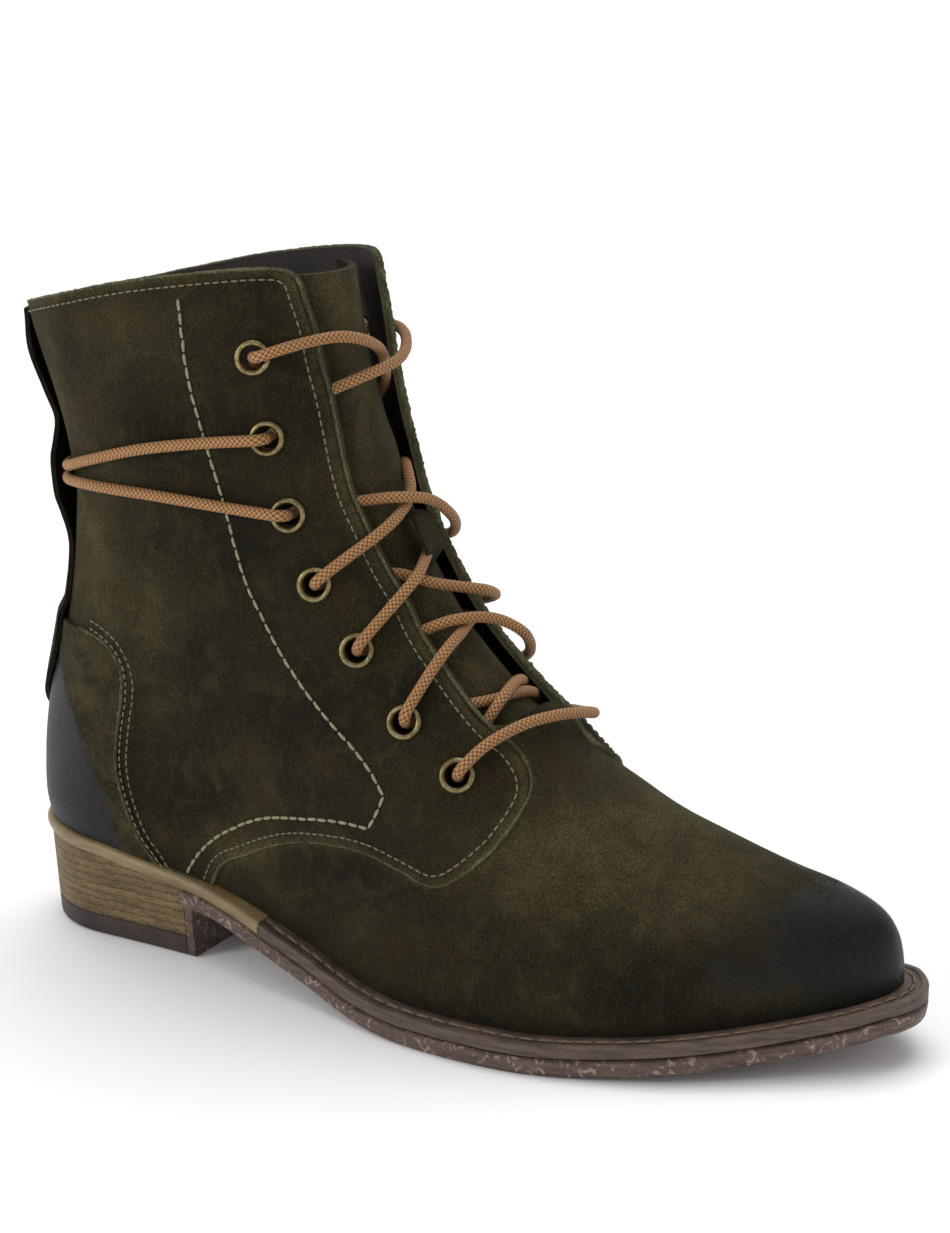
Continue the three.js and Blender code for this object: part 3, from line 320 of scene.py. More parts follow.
def skin_normal(v, t, side):
    """Outward normals of the skin away from the ridge and the back seam."""
    v = np.asarray(v, float)
    t = np.clip(t, 0.002, 0.998)
    step = 0.01
    along = skin(np.minimum(v + step, TOP_ROW), t, side) - skin(np.maximum(v - step, 0), t, side)
    down = skin(v, np.minimum(t + 0.001, 1), side) - skin(v, np.maximum(t - 0.001, 0), side)
    normal = np.cross(along, down)
    normal /= np.linalg.norm(normal, axis=-1, keepdims=True)
    flip = np.where(normal[..., 1] * side < 0, -1.0, 1.0)
    return normal * flip[..., None]


def locate(x, z):
    """Section and share of it at places in the side view."""
    x, z = np.broadcast_arrays(np.asarray(x, float), np.asarray(z, float))
    low = np.zeros(x.shape)
    high = np.full(x.shape, float(TOP_ROW))

    def beside(v):
        s = section(v)
        return (s["low_x"] - s["front_x"]) * (z - s["front_z"]) - (s["low_z"] - s["front_z"]) * (x - s["front_x"])

    sign = np.sign(beside(high))
    for _ in range(30):
        mid = (low + high) / 2
        past = np.sign(beside(mid)) == sign
        high = np.where(past, mid, high)
        low = np.where(past, low, mid)
    s = section(low)
    dx, dz = s["low_x"] - s["front_x"], s["low_z"] - s["front_z"]
    t = ((x - s["front_x"]) * dx + (z - s["front_z"]) * dz) / s["length"] ** 2
    return low, np.clip(t, 0.002, 0.998)


def on_skin(x, z, side, off):
    """Points and normals over the skin at places in the side view."""
    v, t = locate(x, z)
    normal = skin_normal(v, t, side)
    return skin(v, t, side) + normal * np.asarray(off, float)[..., None], normal


# Lace

OVER, UNDER = 2.8, -3.6


def eyelet_base(row, side):
    """Point in the middle of an eyelet and the normal there."""
    along, up = EYELETS[row]
    point, normal = on_skin(x_at(along), up * COLLAR_HEIGHT, side, QUARTER_STEP)
    return point, normal


def around_skin(v, distance, off):
    """Point over section v at a distance round it from the ridge, below 0 on the outer side."""
    side = OUTER if distance < 0 else INNER
    t = np.linspace(0, 0.7, 500) ** 1.5
    points = skin(np.full(t.shape, v), t, side)
    lengths = np.concatenate([[0], np.cumsum(np.linalg.norm(np.diff(points, axis=0), axis=1))])
    share = max(float(np.interp(abs(distance), lengths, t)), 0.0015)
    return skin(v, share, side) + skin_normal(v, share, side) * off


def over_throat(rows):
    """Points of a run over the throat: section, distance round it, height over it."""
    return [around_skin(*row) for row in rows]


def round_side(side, rows):
    """Points of a run along one side: side view place and height over the skin."""
    return [on_skin(x, z, side, off)[0] for x, z, off in rows]


def behind(z, off, y=0.0):
    """Point of a run behind the back seam."""
    return [np.array([back_x(z) - off, y, z])]


# The lace's runs in order from end to end. Each starts and ends at an eyelet: row from 0 at the toe, side,
# and whether the run is outside it.
def lace_runs():
    outside, inside = True, False
    return [
        ((6, OUTER, outside), over_throat([
            (19.45, -27, 3.6), (19.1, -16, 2.6), (18.5, -5, 0.8), (17.95, 5, -1.2), (17.5, 14, -3.3),
            (17.35, 27, UNDER),
        ]), (5, INNER, inside)),
        ((5, INNER, outside), [
            *round_side(INNER, [(50, 158, OVER), (28, 154, OVER), (10, 148, OVER), (-5, 142, OVER)]),
            *behind(139.6, 3.0),
            *round_side(OUTER, [(-6, 141.2, 3.2), (8, 142.4, 3.2), (34, 142.2, OVER), (57, 141, OVER)]),
        ], (4, OUTER, outside)),
        ((4, OUTER, inside), over_throat([
            (13.8, -31, UNDER), (13.4, -20, -2.6), (13.05, -8, 1.0), (12.75, 4, 3.2), (12.45, 14, 4.6),
            (12.45, 25, 4.2),
        ]), (3, INNER, outside)),
        ((3, INNER, inside), over_throat([
            (12.6, 30, UNDER), (12.35, 17, UNDER), (12.1, 6, -2.8), (11.95, -3, -1.4), (11.8, -12, 1.4),
            (11.75, -20, 2.8),
        ]), (2, OUTER, outside)),
        ((2, OUTER, inside), over_throat([
            (11.5, -29, UNDER), (11.25, -19, -2.6), (11.0, -8, 1.0), (10.7, 4, 3.6), (10.4, 14, 5.4),
            (10.35, 24, 4.6),
        ]), (1, INNER, outside)),
        ((1, INNER, inside), over_throat([
            (10.1, 27, UNDER), (9.9, 14, UNDER), (9.8, 3, -3.0), (9.72, -9, -1.4), (9.68, -20, -3.4),
            (9.66, -28, UNDER),
        ]), (0, OUTER, inside)),
        ((0, OUTER, outside), over_throat([
            (9.5, -26, 3.4), (9.25, -15, 3.2), (9.0, -4, 3.2), (8.85, 6, 4.0), (8.85, 16, 4.6),
            (9.15, 26, 3.8),
        ]), (0, INNER, outside)),
        ((0, INNER, inside), over_throat([
            (9.75, 26, UNDER), (9.65, 14, UNDER), (9.65, 2, -4.0), (9.8, -10, -4.2), (10.1, -20, UNDER),
            (10.4, -29, UNDER),
        ]), (1, OUTER, inside)),
        ((1, OUTER, outside), over_throat([
            (10.72, -28, 3.0), (10.76, -18, 2.6), (10.8, -7, -0.4), (10.9, 4, -2.6), (11.0, 13, UNDER),
            (11.25, 24, UNDER),
        ]), (2, INNER, inside)),
        ((2, INNER, outside), over_throat([
            (11.4, 27, 4.4), (11.2, 18, 5.4), (11.2, 10, 4.0), (11.35, 3, 0.6), (11.6, -5, -2.2),
            (12.0, -14, UNDER), (12.4, -26, UNDER),
        ]), (3, OUTER, inside)),
        ((3, OUTER, outside), over_throat([
            (12.75, -28, 3.2), (12.7, -19, 2.8), (12.75, -8, 0.2), (13.0, 3, -1.8), (13.5, 14, UNDER),
            (14.0, 27, UNDER),
        ]), (4, INNER, inside)),
        ((4, INNER, outside), [
            *round_side(INNER, [(57, 141, OVER), (34, 142, OVER), (10, 144.5, 5.8), (-5, 145.2, 4.0)]),
            *behind(143.6, 3.0),
            *round_side(OUTER, [(-4, 145.6, 3.2), (8, 149.6, 3.2), (28, 155.2, OVER), (49, 158.7, OVER)]),
        ], (5, OUTER, outside)),
        ((5, OUTER, inside), over_throat([
            (17.38, -32, UNDER), (17.4, -20, -3.0), (17.35, -9, 0.2), (17.5, 3, 2.6), (17.95, 12, 3.6),
            (18.7, 20, 3.8), (19.3, 29, 3.2),
        ]), (6, INNER, outside)),
    ]


def eyelet_passage(row, side, toward, outside):
    """Points from the middle of an eyelet to the start of a run."""
    point, normal = eyelet_base(row, side)
    level = toward - point
    level -= normal * np.dot(level, normal)
    level /= np.linalg.norm(level)
    if outside:
        return [point + normal * 0.2 + level * 0.3, point + normal * 2.6 + level * 2.2]
    return [point - normal * 2.6, point - normal * 4.9 + level * 1.8]


def lace_path():
    """Middle line of the whole lace."""
    points = []
    for (row_a, side_a, out_a), run, (row_b, side_b, out_b) in lace_runs():
        points += eyelet_passage(row_a, side_a, run[0], out_a)
        points += run
        points += reversed(eyelet_passage(row_b, side_b, run[-1], out_b))
    first, normal = eyelet_base(6, OUTER)
    last, last_normal = eyelet_base(6, INNER)
    start = [first - normal * 6 - [0, 0, 9], first - normal * 4.5 - [0, 0, 3], first - normal * 1.8]
    end = [last - last_normal * 1.8, last - last_normal * 4.5 - [0, 0, 3], last - last_normal * 6 - [0, 0, 9]]
    return rounded(np.array([*start, *points, *end]), 10)


def rounded(points, steps):
    """Smooth curve through points, spaced by the root of their distances."""
    ends = np.concatenate([[2 * points[0] - points[1]], points, [2 * points[-1] - points[-2]]])
    curve = []
    for p0, p1, p2, p3 in zip(ends[:-3], ends[1:-2], ends[2:-1], ends[3:]):
        a, b, c = (max(np.linalg.norm(q - r), 1e-3) ** 0.5 for q, r in ((p1, p0), (p2, p1), (p3, p2)))
        out = (p2 - p1) + b * ((p1 - p0) / a - (p2 - p0) / (a + b))
        into = (p2 - p1) + b * ((p3 - p2) / c - (p3 - p1) / (b + c))
        for k in range(steps):
            t = k / steps
            curve.append(p1 * (2 * t ** 3 - 3 * t ** 2 + 1) + out * (t ** 3 - 2 * t ** 2 + t)
                         + p2 * (3 * t ** 2 - 2 * t ** 3) + into * (t ** 3 - t ** 2))
    return np.array([*curve, points[-1]])


# Meshes

def make_object(name, vertices, faces, scale=MM):
    mesh = bpy.data.meshes.new(name)
    mesh.from_pydata([tuple(p) for p in np.asarray(vertices, float) * scale], [], faces)
    mesh.validate()
    obj = bpy.data.objects.new(name, mesh)
    bpy.context.scene.collection.objects.link(obj)
    return obj


def lofted(loops, close_ends=True):
    """Vertices and faces of a body through loops of equal count."""
    loops = [np.asarray(loop, float) for loop in loops]
    count = len(loops[0])
    vertices = np.concatenate(loops)
    faces = []
    for i in range(len(loops) - 1):
        for j in range(count):
            k = (j + 1) % count
            a, b = i * count + j, i * count + k
            faces.append((a, b, b + count, a + count))
    if close_ends:
        start, end = len(vertices), len(vertices) + 1
        vertices = np.concatenate([vertices, [loops[0].mean(0)], [loops[-1].mean(0)]])
        base = (len(loops) - 1) * count
        for j in range(count):
            k = (j + 1) % count
            faces.append((start, k, j))
            faces.append((end, base + j, base + k))
    return outward(vertices, faces)


def outward(vertices, faces):
    volume = 0.0
    for face in faces:
        a = vertices[face[0]]
        for i in range(1, len(face) - 1):
            volume += np.dot(a, np.cross(vertices[face[i]], vertices[face[i + 1]]))
    return vertices, [tuple(reversed(face)) for face in faces] if volume < 0 else faces


def row_places():
    """Section numbers for the fine skin, close together at the toe and the heel's corner."""
    steps = [(0, 1, 5), (1, 3, 10), (3, 13, 70), (13, 14, 9), (14, 14.7, 9), (14.7, 15, 9), (15, 16, 9), (16, 23, 40)]
    parts = [np.linspace(a, b, n, endpoint=False) for a, b, n in steps]
    return np.concatenate([*parts, [TOP_ROW]])


ROWS = row_places()
AROUND = 64
SKIRT = 8.0


def skin_grid():
    """Points and normals of the whole skin, from the inner low edge over the ridge to the outer one."""
    w = np.linspace(-1, 1, 2 * AROUND + 1)
    t = (1 - np.cos(np.pi * np.abs(w))) / 2
    side = np.where(w < 0, INNER, OUTER)
    points = skin(ROWS[:, None], t[None, :], side[None, :])
    points += creases(points)
    along = np.gradient(points, axis=0)
    around = np.gradient(points, axis=1)
    normal = np.cross(around, along)
    closed = ROWS > LAST_ON_SOLE
    seam = points[closed][:, 1] - points[closed][:, -2]
    flat = np.cross(seam, along[closed][:, 0])
    normal[closed, 0] = flat
    normal[closed, -1] = flat
    normal /= np.maximum(np.linalg.norm(normal, axis=-1, keepdims=True), 1e-9)
    centre = points.mean(axis=1, keepdims=True)
    normal *= np.sign(np.sum(normal * (points - centre), -1, keepdims=True))
    return points, normal


# Soft troughs (below 0) and ridges: side or 0 for both, start, end, half width, height, all in
# millimetres of the side view
CREASES = [
    (0, (150, 70), (128, 44), 7.0, -0.9),
    (0, (160, 66), (141, 40), 6.0, 0.5),
    (0, (172, 58), (152, 30), 8.0, -0.5),
    (OUTER, (5, 118), (34, 104), 9.0, -1.2),
    (OUTER, (-8, 137), (30, 131), 8.0, -0.8),
    (OUTER, (0, 128), (40, 118), 8.0, 0.7),
    (OUTER, (20, 84), (60, 62), 12.0, -0.9),
    (OUTER, (60, 170), (66, 110), 7.0, -0.5),
    (OUTER, (100, 92), (80, 60), 9.0, 0.7),
    (OUTER, (30, 180), (20, 150), 12.0, 0.8),
    (INNER, (5, 118), (40, 104), 9.0, -1.0),
    (INNER, (-5, 134), (36, 128), 8.0, -0.7),
    (INNER, (60, 150), (90, 80), 12.0, 0.6),
    (INNER, (20, 84), (62, 60), 12.0, -0.7),
]


def creases(points):
    """Sideways shift of the skin by its creases."""
    x, z = points[..., 0], points[..., 2]
    side = np.sign(points[..., 1])
    push = np.zeros(x.shape)
    for where, (x0, z0), (x1, z1), width, height in CREASES:
        dx, dz = x1 - x0, z1 - z0
        along = np.clip(((x - x0) * dx + (z - z0) * dz) / (dx * dx + dz * dz), 0, 1)
        distance = np.hypot(x - x0 - along * dx, z - z0 - along * dz)
        fade = 1.0 if where == 0 else (side == where)
        push += height * fade * np.exp(-((distance / width) ** 2))
    flat = np.clip(np.abs(points[..., 1]) / 14.0, 0, 1)
    return np.stack([np.zeros(x.shape), side * push * flat, np.zeros(x.shape)], -1)


GRID, GRID_NORMAL = skin_grid()


def last_object(name, off):
    """Whole last as a closed object, grown or shrunk by an offset, which may be one number per row."""
    off = np.broadcast_to(np.asarray(off, float), ROWS.shape)
    points = GRID + GRID_NORMAL * off[:, None, None]
    drop = np.where(ROWS <= LAST_ON_SOLE, SKIRT, 0.0)[:, None] * np.array([0, 0, -1.0])
    first = points[:, 0] + drop
    last = points[:, -1] + drop
    loops = np.concatenate([first[:, None], points, last[:, None]], axis=1)
    return make_object(name, *lofted(list(loops)))


def spline(rows, inner=False, steps=6):
    """Smooth side view line, in millimetres, through shares of the table."""
    points = np.array([(x_at(a + (ahead if inner else 0)), up * COLLAR_HEIGHT) for a, up, ahead in rows])
    v = np.linspace(0, len(points) - 1, (len(points) - 1) * steps + 1)
    return np.stack([by_row(points[:, 0], v), by_row(points[:, 1], v)], -1)


def prism(name, outer, inner=None):
    """Body through the whole width from a side view outline, which may differ on the inner side."""
    inner = outer if inner is None else inner
    rings = [(outer, -REACH), (outer, -3.0), (inner, 3.0), (inner, REACH)]
    loops = [[(x, y, z) for x, z in outline] for outline, y in rings]
    count = len(outer)
    vertices = np.array([p for loop in loops for p in loop], float)
    faces = []
    for i in range(3):
        for j in range(count):
            k = (j + 1) % count
            faces.append((i * count + j, i * count + k, (i + 1) * count + k, (i + 1) * count + j))
    faces.append(tuple(reversed(range(count))))
    faces.append(tuple(range(3 * count, 4 * count)))
    area = sum(a[0] * b[1] - b[0] * a[1] for a, b in zip(outer, [*outer[1:], outer[0]]))
    if area > 0:
        faces = [tuple(reversed(face)) for face in faces]
    return make_object(name, vertices, faces)


def boolean(obj, tool, operation):
    """Joins, cuts or intersects obj with tool, which is then removed."""
    mod = obj.modifiers.new("cut", "BOOLEAN")
    mod.operation = operation
    mod.solver = "MANIFOLD"
    mod.object = tool
    graph = bpy.context.evaluated_depsgraph_get()
    mesh = bpy.data.meshes.new_from_object(obj.evaluated_get(graph))
    if len(mesh.polygons) == 0:
        raise RuntimeError(f"{obj.name}: {operation} with {tool.name} left nothing")
    obj.modifiers.clear()
    obj.data = mesh
    bpy.data.objects.remove(tool)
    return obj


def throat(extra=0.0):
    def outline(inner):
        edge = spline([*FACING_EDGE, THROAT_LIP], inner)
        edge = edge - [extra, 0]
        return [*edge, (x_at(1), REACH), (edge[0][0], REACH)]
    return prism("throat", outline(False), outline(True))


def above_collar():
    line = spline(COLLAR_EDGE)
    return prism("above_collar", [*line, (x_at(0.38), REACH), (x_at(-0.5), REACH), (x_at(-0.5), line[0][1])])


def under_seat():
    xs = np.linspace(x_at(-0.15), x_at(1.15), 160)
    return prism("under_seat", [*zip(xs, seat_height(xs)), (xs[-1], -REACH), (xs[0], -REACH)])


def quarter_zone():
    def outline(inner):
        front = np.concatenate([spline(FACING_EDGE, inner), spline(QUARTER_EDGE, inner)[1:]])
        return [*front, (x_at(-0.5), 0), (x_at(-0.5), REACH), (front[0][0], REACH)]
    return prism("quarter_zone", outline(False), outline(True))


def aim(normal, up=(0, 0, 1)):
    """Rotation that turns +Z to a normal."""
    return Vector(normal).to_track_quat("Z", "Y").to_matrix()


def eyelet_places():
    places = []
    for side in (OUTER, INNER):
        for i, (along, up) in enumerate(EYELETS):
            point, normal = on_skin(x_at(along), up * COLLAR_HEIGHT, side, QUARTER_STEP)
            places.append((side, i, point, normal))
    return places


PLACES = eyelet_places()


def ring(radius, height, turn, centre, sides):
    angles = np.arange(sides) * 2 * math.pi / sides
    local = np.stack([radius * np.cos(angles), radius * np.sin(angles), np.full(sides, height)], -1)
    return local @ np.array(turn).T + centre


def eyelet_holes():
    vertices, faces = [], []
    radius = EYELET_BARREL / 2 + GAP
    for _, _, point, normal in PLACES:
        turn = aim(normal)
        loops = [ring(radius, h, turn, point, 28) for h in (-8.0, 6.0)]
        made, sheets = lofted(loops)
        faces += [tuple(i + len(vertices) for i in face) for face in sheets]
        vertices += list(made)
    return make_object("holes", vertices, faces)


def make_upper():
    upper = last_object("upper_suede", 0)
    quarters = boolean(last_object("quarters", QUARTER_STEP), quarter_zone(), "INTERSECT")
    boolean(upper, quarters, "UNION")
    boolean(upper, last_object("inside", -WALL), "DIFFERENCE")
    boolean(upper, throat(), "DIFFERENCE")
    boolean(upper, above_collar(), "DIFFERENCE")
    boolean(upper, under_seat(), "DIFFERENCE")
    boolean(upper, eyelet_holes(), "DIFFERENCE")
    return upper


def make_counter():
    inside = QUARTER_STEP + GAP
    counter = last_object("heel_counter", inside + COUNTER_THICKNESS)
    boolean(counter, last_object("inside", inside), "DIFFERENCE")
    edge = spline(COUNTER_EDGE)
    zone = prism("zone", [*edge, (x_at(-0.5), edge[-1][1]), (x_at(-0.5), edge[0][1])])
    boolean(counter, zone, "INTERSECT")
    return boolean(counter, under_seat(), "DIFFERENCE")


def tongue_off():
    sag = TONGUE_SAG + (TONGUE_SAG_TOP - TONGUE_SAG) * smooth_step(14, 19, ROWS)
    return -(WALL + TONGUE_DEPTH + sag)


TONGUE_WING = 0.055
TONGUE_TOP = 0.985
TONGUE_ROOT = 0.045


def make_tongue():
    off = tongue_off()
    tongue = last_object("tongue_sheet", off)
    boolean(tongue, last_object("inside", off - TONGUE_THICKNESS), "DIFFERENCE")
    wing = spline([(a - TONGUE_WING, up, 0) for a, up, _ in FACING_EDGE])
    wing[0][1] = TONGUE_TOP * COLLAR_HEIGHT
    low = spline(FACING_EDGE)[-1]
    root = (low[0] + TONGUE_ROOT * UPPER_LENGTH, low[1] - TONGUE_ROOT * UPPER_LENGTH * 0.6)
    far = (root[0] + REACH / 8, root[1] + REACH / 8)
    zone = prism("zone", [*wing, root, far, (far[0], wing[0][1])])
    return boolean(tongue, zone, "INTERSECT")


# The sole's plates

STATIONS = 120


def stations():
    start = back_x(seat_height(HEEL_BACK))
    return start + (x_at(1) - start) * (1 - np.cos(np.linspace(0, np.pi, STATIONS + 1))) / 2


def plan_line():
    x = stations()
    z = seat_height(x)
    half = BALL_WIDTH * sole_value("half", x)
    width = half * round_off(x_at(1) - x, TOE_ROUND, 2) * round_off(x - back_x(z), back_round(z), 2.1)
    width = np.maximum(width - np.minimum(EDGE_TUCK, width / 2) * np.clip(width / 20, 0, 1), 0)
    shift = BALL_WIDTH * sole_value("shift", x)
    outer = np.stack([x, shift - width], -1)
    inner = np.stack([x, shift + width], -1)
    return np.concatenate([outer, inner[1:-1][::-1]])


def plan_offset(width):
    """Plan line moved outward by a width given at each x."""
    line = plan_line()
    along = np.roll(line, -1, 0) - np.roll(line, 1, 0)
    along /= np.linalg.norm(along, axis=1, keepdims=True)
    out = np.stack([along[:, 1], -along[:, 0]], -1)
    return line + out * np.broadcast_to(width(line[:, 0]), len(line))[:, None]


def ledge(x):
    share = smooth_step(HEEL_BREAST_X, WELT_NOTCH_X + WELT_WIDTH * 2, x)
    return RAND_WIDTH + (WELT_WIDTH - RAND_WIDTH) * share


def plate(name, levels, ledge_width=ledge):
    """Body with the boot's plan: levels from the top down, each (inset, height at x)."""
    rings = []
    for inset, height in levels:
        plan = plan_offset(lambda x: ledge_width(x) - inset)
        rings.append(np.column_stack([plan, np.broadcast_to(height(plan[:, 0]), len(plan))]))
    count = len(rings[0])
    vertices = np.concatenate(rings)
    faces = []
    for level in range(len(rings) - 1):
        for i in range(count):
            k = (i + 1) % count
            a, b = level * count + i, level * count + k
            faces.append((a, a + count, b + count, b))
    base = (len(rings) - 1) * count
    for i in range(STATIONS):
        quad = [i, i + 1, (count - i - 1) % count, (count - i) % count]
        face = list(dict.fromkeys(quad))
        faces.append(tuple(face))
        faces.append(tuple(base + k for k in reversed(face)))
    return make_object(name, *outward(vertices, faces))


def block(low, high):
    corners = [(x, y, z) for x in (low[0], high[0]) for y in (low[1], high[1]) for z in (low[2], high[2])]
    faces = [(0, 1, 3, 2), (4, 6, 7, 5), (0, 4, 5, 1), (2, 3, 7, 6), (0, 2, 6, 4), (1, 5, 7, 3)]
    return make_object("block", *outward(np.array(corners, float), faces))


def beyond(x):
    return block((x, -REACH, -REACH), (REACH, REACH, REACH))


def before(x):
    return block((-REACH, -REACH, -REACH), (x, REACH, REACH))


HEEL_FRONT = HEEL_BREAST_X - BREAST_THICKNESS


def heel_body(name, top, bottom, round_edge):
    def drawn(z):
        return HEEL_TAPER * (1 - z / float(seat_height(HEEL_BACK))) + GROOVE_DEPTH
    levels = [(drawn(float(top(np.array([0.0]))[0])), top)]
    if round_edge:
        for k in range(6):
            turn = math.pi / 2 * k / 5
            z = bottom + round_edge * (1 - math.sin(turn))
            levels.append((drawn(z) + round_edge * (1 - math.cos(turn)), lambda x, z=z: z + 0 * x))
    else:
        levels.append((drawn(bottom), lambda x: bottom + 0 * x))
    return plate(name, levels)


def make_outsole():
    half = GROOVE_HEIGHT / 2
    sole = plate("outsole_unit", [
        (GROOVE_DEPTH, sole_top),
        (0.15, lambda x: sole_top(x) - half),
        (0, lambda x: sole_top(x) - half * 1.6),
        (0.1, lambda x: sole_top(x) - SOLE_THICKNESS * 0.45),
        (0.35, lambda x: underside(x) + 1.1),
        (0.7, lambda x: underside(x) + 0.4),
        (1.3, underside),
    ])
    boolean(sole, beyond(HEEL_FRONT), "INTERSECT")
    flap = heel_body("flap", sole_top, 0, LIFT_ROUND)
    boolean(flap, before(HEEL_BREAST_X), "INTERSECT")
    boolean(flap, beyond(HEEL_FRONT), "INTERSECT")
    return boolean(sole, flap, "UNION")


def make_welt():
    half = GROOVE_HEIGHT / 2
    welt = plate("welt_strip", [
        (WELT_WIDTH, lambda x: welt_top(x)),
        (WELT_WIDTH * 0.72, lambda x: welt_top(x) - 0.05),
        (WELT_WIDTH * 0.66, lambda x: welt_top(x) - 0.6),
        (WELT_WIDTH * 0.34, lambda x: welt_top(x) - 0.6),
        (WELT_WIDTH * 0.28, lambda x: welt_top(x) - 0.05),
        (1.0, welt_top),
        (0.3, lambda x: welt_top(x) - 0.3),
        (0, lambda x: welt_top(x) - 0.9),
        (0.05, lambda x: welt_top(x) - WELT_THICKNESS * 0.5),
        (0, lambda x: welt_bottom(x) + half * 1.5),
        (0.2, lambda x: welt_bottom(x) + half),
        (GROOVE_DEPTH, welt_bottom),
    ])
    return boolean(welt, beyond(WELT_NOTCH_X), "INTERSECT")


def make_rand():
    levels = [(RAND_WIDTH * 0.9, welt_top)]
    for k in range(9):
        turn = math.pi * k / 8
        bulge = math.sin(turn)
        drop = (1 - math.cos(turn)) / 2
        inset = RAND_WIDTH * 0.4 * (1 - bulge) * (1 - drop) + GROOVE_DEPTH * (1 - bulge) * drop
        levels.append((inset, lambda x, d=drop: welt_top(x) - 0.05 - d * (WELT_THICKNESS - 0.05)))
    rand = plate("heel_rand_strip", levels)
    return boolean(rand, before(WELT_NOTCH_X - GAP), "INTERSECT")


def make_heel():
    stack = heel_body("heel_stack", lambda x: welt_bottom(x) - GAP, LIFT_THICKNESS + GAP, 0)
    boolean(stack, before(HEEL_FRONT - GAP), "INTERSECT")
    lift = heel_body("heel_top_lift", lambda x: LIFT_THICKNESS + 0 * x, 0, LIFT_ROUND)
    boolean(lift, before(HEEL_FRONT - GAP), "INTERSECT")
    return stack, lift


def make_insole():
    sheet = plate(
        "insole_sheet",
        [(0, lambda x: seat_height(x) + INSOLE_THICKNESS), (0, seat_height)],
        lambda x: 0 * x,
    )
    return boolean(sheet, last_object("inside", -(WALL + GAP)), "INTERSECT")


# Back strap and keeper

def back_point(z, y):
    v, t = locate(back_x(z) + back_round(z) / 2, z)
    half = skin(v, t, INNER)[..., 1] / round_off(1, 2, 2.1)
    share = np.clip(np.abs(y) / half, 0, 0.98)
    x = back_x(z) + back_round(z) * (1 - (1 - share ** 2.1) ** (1 / 2.1))
    return np.stack([x + 0 * y, y + 0 * x, z + 0 * y], -1)


def make_backstay():
    rows = np.linspace(0, len(BACKSTAY["up"]) - 1, 100)
    ups = by_row(BACKSTAY["up"], rows)
    loops = []
    for up, row in zip(ups, rows):
        z = up * COLLAR_HEIGHT
        counter_top = COUNTER_EDGE[0][1] * COLLAR_HEIGHT
        over = (COUNTER_THICKNESS + GAP) * smooth_step(counter_top + 7, counter_top + 1, z)
        inner = QUARTER_STEP + GAP * 2 + over + max(by_row(BACKSTAY["off"], row), 0) * LACE_DIAMETER
        reach = max(by_row(BACKSTAY["half"], row), 0.02) * BACKSTAY_WIDTH
        y = np.linspace(-reach, reach, 21)
        points = back_point(np.full(y.shape, z), y)
        along = back_point(np.full(y.shape, z), y + 0.5) - back_point(np.full(y.shape, z), y - 0.5)
        normal = np.stack([-along[:, 1], along[:, 0], 0 * y], -1)
        normal /= np.linalg.norm(normal, axis=1, keepdims=True)
        loops.append(np.concatenate([
            points + normal * inner, (points + normal * (inner + BACKSTAY_THICKNESS))[::-1]
        ]))
    return make_object("back_strap", *lofted(loops))


def over_ridge(v, across, off):
    """Points over sections at a sideways distance from the ridge."""
    v, across, off = np.broadcast_arrays(v, across, off)
    s = section(v)
    share = np.clip(np.abs(across) / s["half"], 0, 1)
    t = s["round"] / s["length"] * (1 - (1 - share ** s["power"]) ** (1 / s["power"]))
    side = np.where(across < 0, OUTER, INNER)
    return skin(v, t, side) + skin_normal(v, t, side) * off[..., None]


def eyelet_place(row):
    along, up = EYELETS[row]
    v, t = locate(x_at(along), up * COLLAR_HEIGHT)
    return float(v), float(t)


def make_keeper():
    middle = (eyelet_place(2)[0] + eyelet_place(3)[0]) / 2
    row_step = np.linalg.norm(skin(middle - 0.5, 0, INNER) - skin(middle + 0.5, 0, INNER))
    seat = np.interp(middle, ROWS, tongue_off()) + GAP * 2
    loops = []
    for share in np.linspace(-1, 1, 25):
        v = middle + share * KEEPER_LENGTH / 2 / row_step
        under = seat + KEEPER_ROOM * (1 - smooth_step(0.6, 0.95, abs(share)))
        across = np.linspace(-1, 1, 7) * KEEPER_WIDTH / 2
        low = over_ridge(v, across, under)
        high = over_ridge(v, across[::-1], under + KEEPER_THICKNESS)
        loops.append(np.concatenate([low, high]))
    return make_object("tongue_loop", *lofted(loops))


# Small parts made many times, joined into one mesh

class Batch:
    """Vertices and faces of many small parts."""

    def __init__(self):
        self.vertices, self.faces, self.count = [], [], 0

    def add(self, vertices, faces):
        self.vertices.append(np.asarray(vertices, float))
        self.faces += [tuple(i + self.count for i in face) for face in faces]
        self.count += len(vertices)

    def build(self, name):
        return make_object(name, np.concatenate(self.vertices), self.faces)


def frames_along(path):
    """Tangents and turned-along normals of a path."""
    tangents = np.gradient(path, axis=0)
    tangents /= np.maximum(np.linalg.norm(tangents, axis=1, keepdims=True), 1e-9)
    normal = np.cross(tangents[0], (0.1, 0.2, 1.0))
    normals = []
    for tangent in tangents:
        normal = normal - tangent * np.dot(normal, tangent)
        normal /= np.linalg.norm(normal)
        normals.append(normal)
    return tangents, np.array(normals)


def resample(path, step):
    lengths = np.concatenate([[0], np.cumsum(np.linalg.norm(np.diff(path, axis=0), axis=1))])
    count = max(int(round(lengths[-1] / step)), 2)
    places = np.linspace(0, lengths[-1], count + 1)
    return np.stack([np.interp(places, lengths, path[:, i]) for i in range(path.shape[1])], -1)


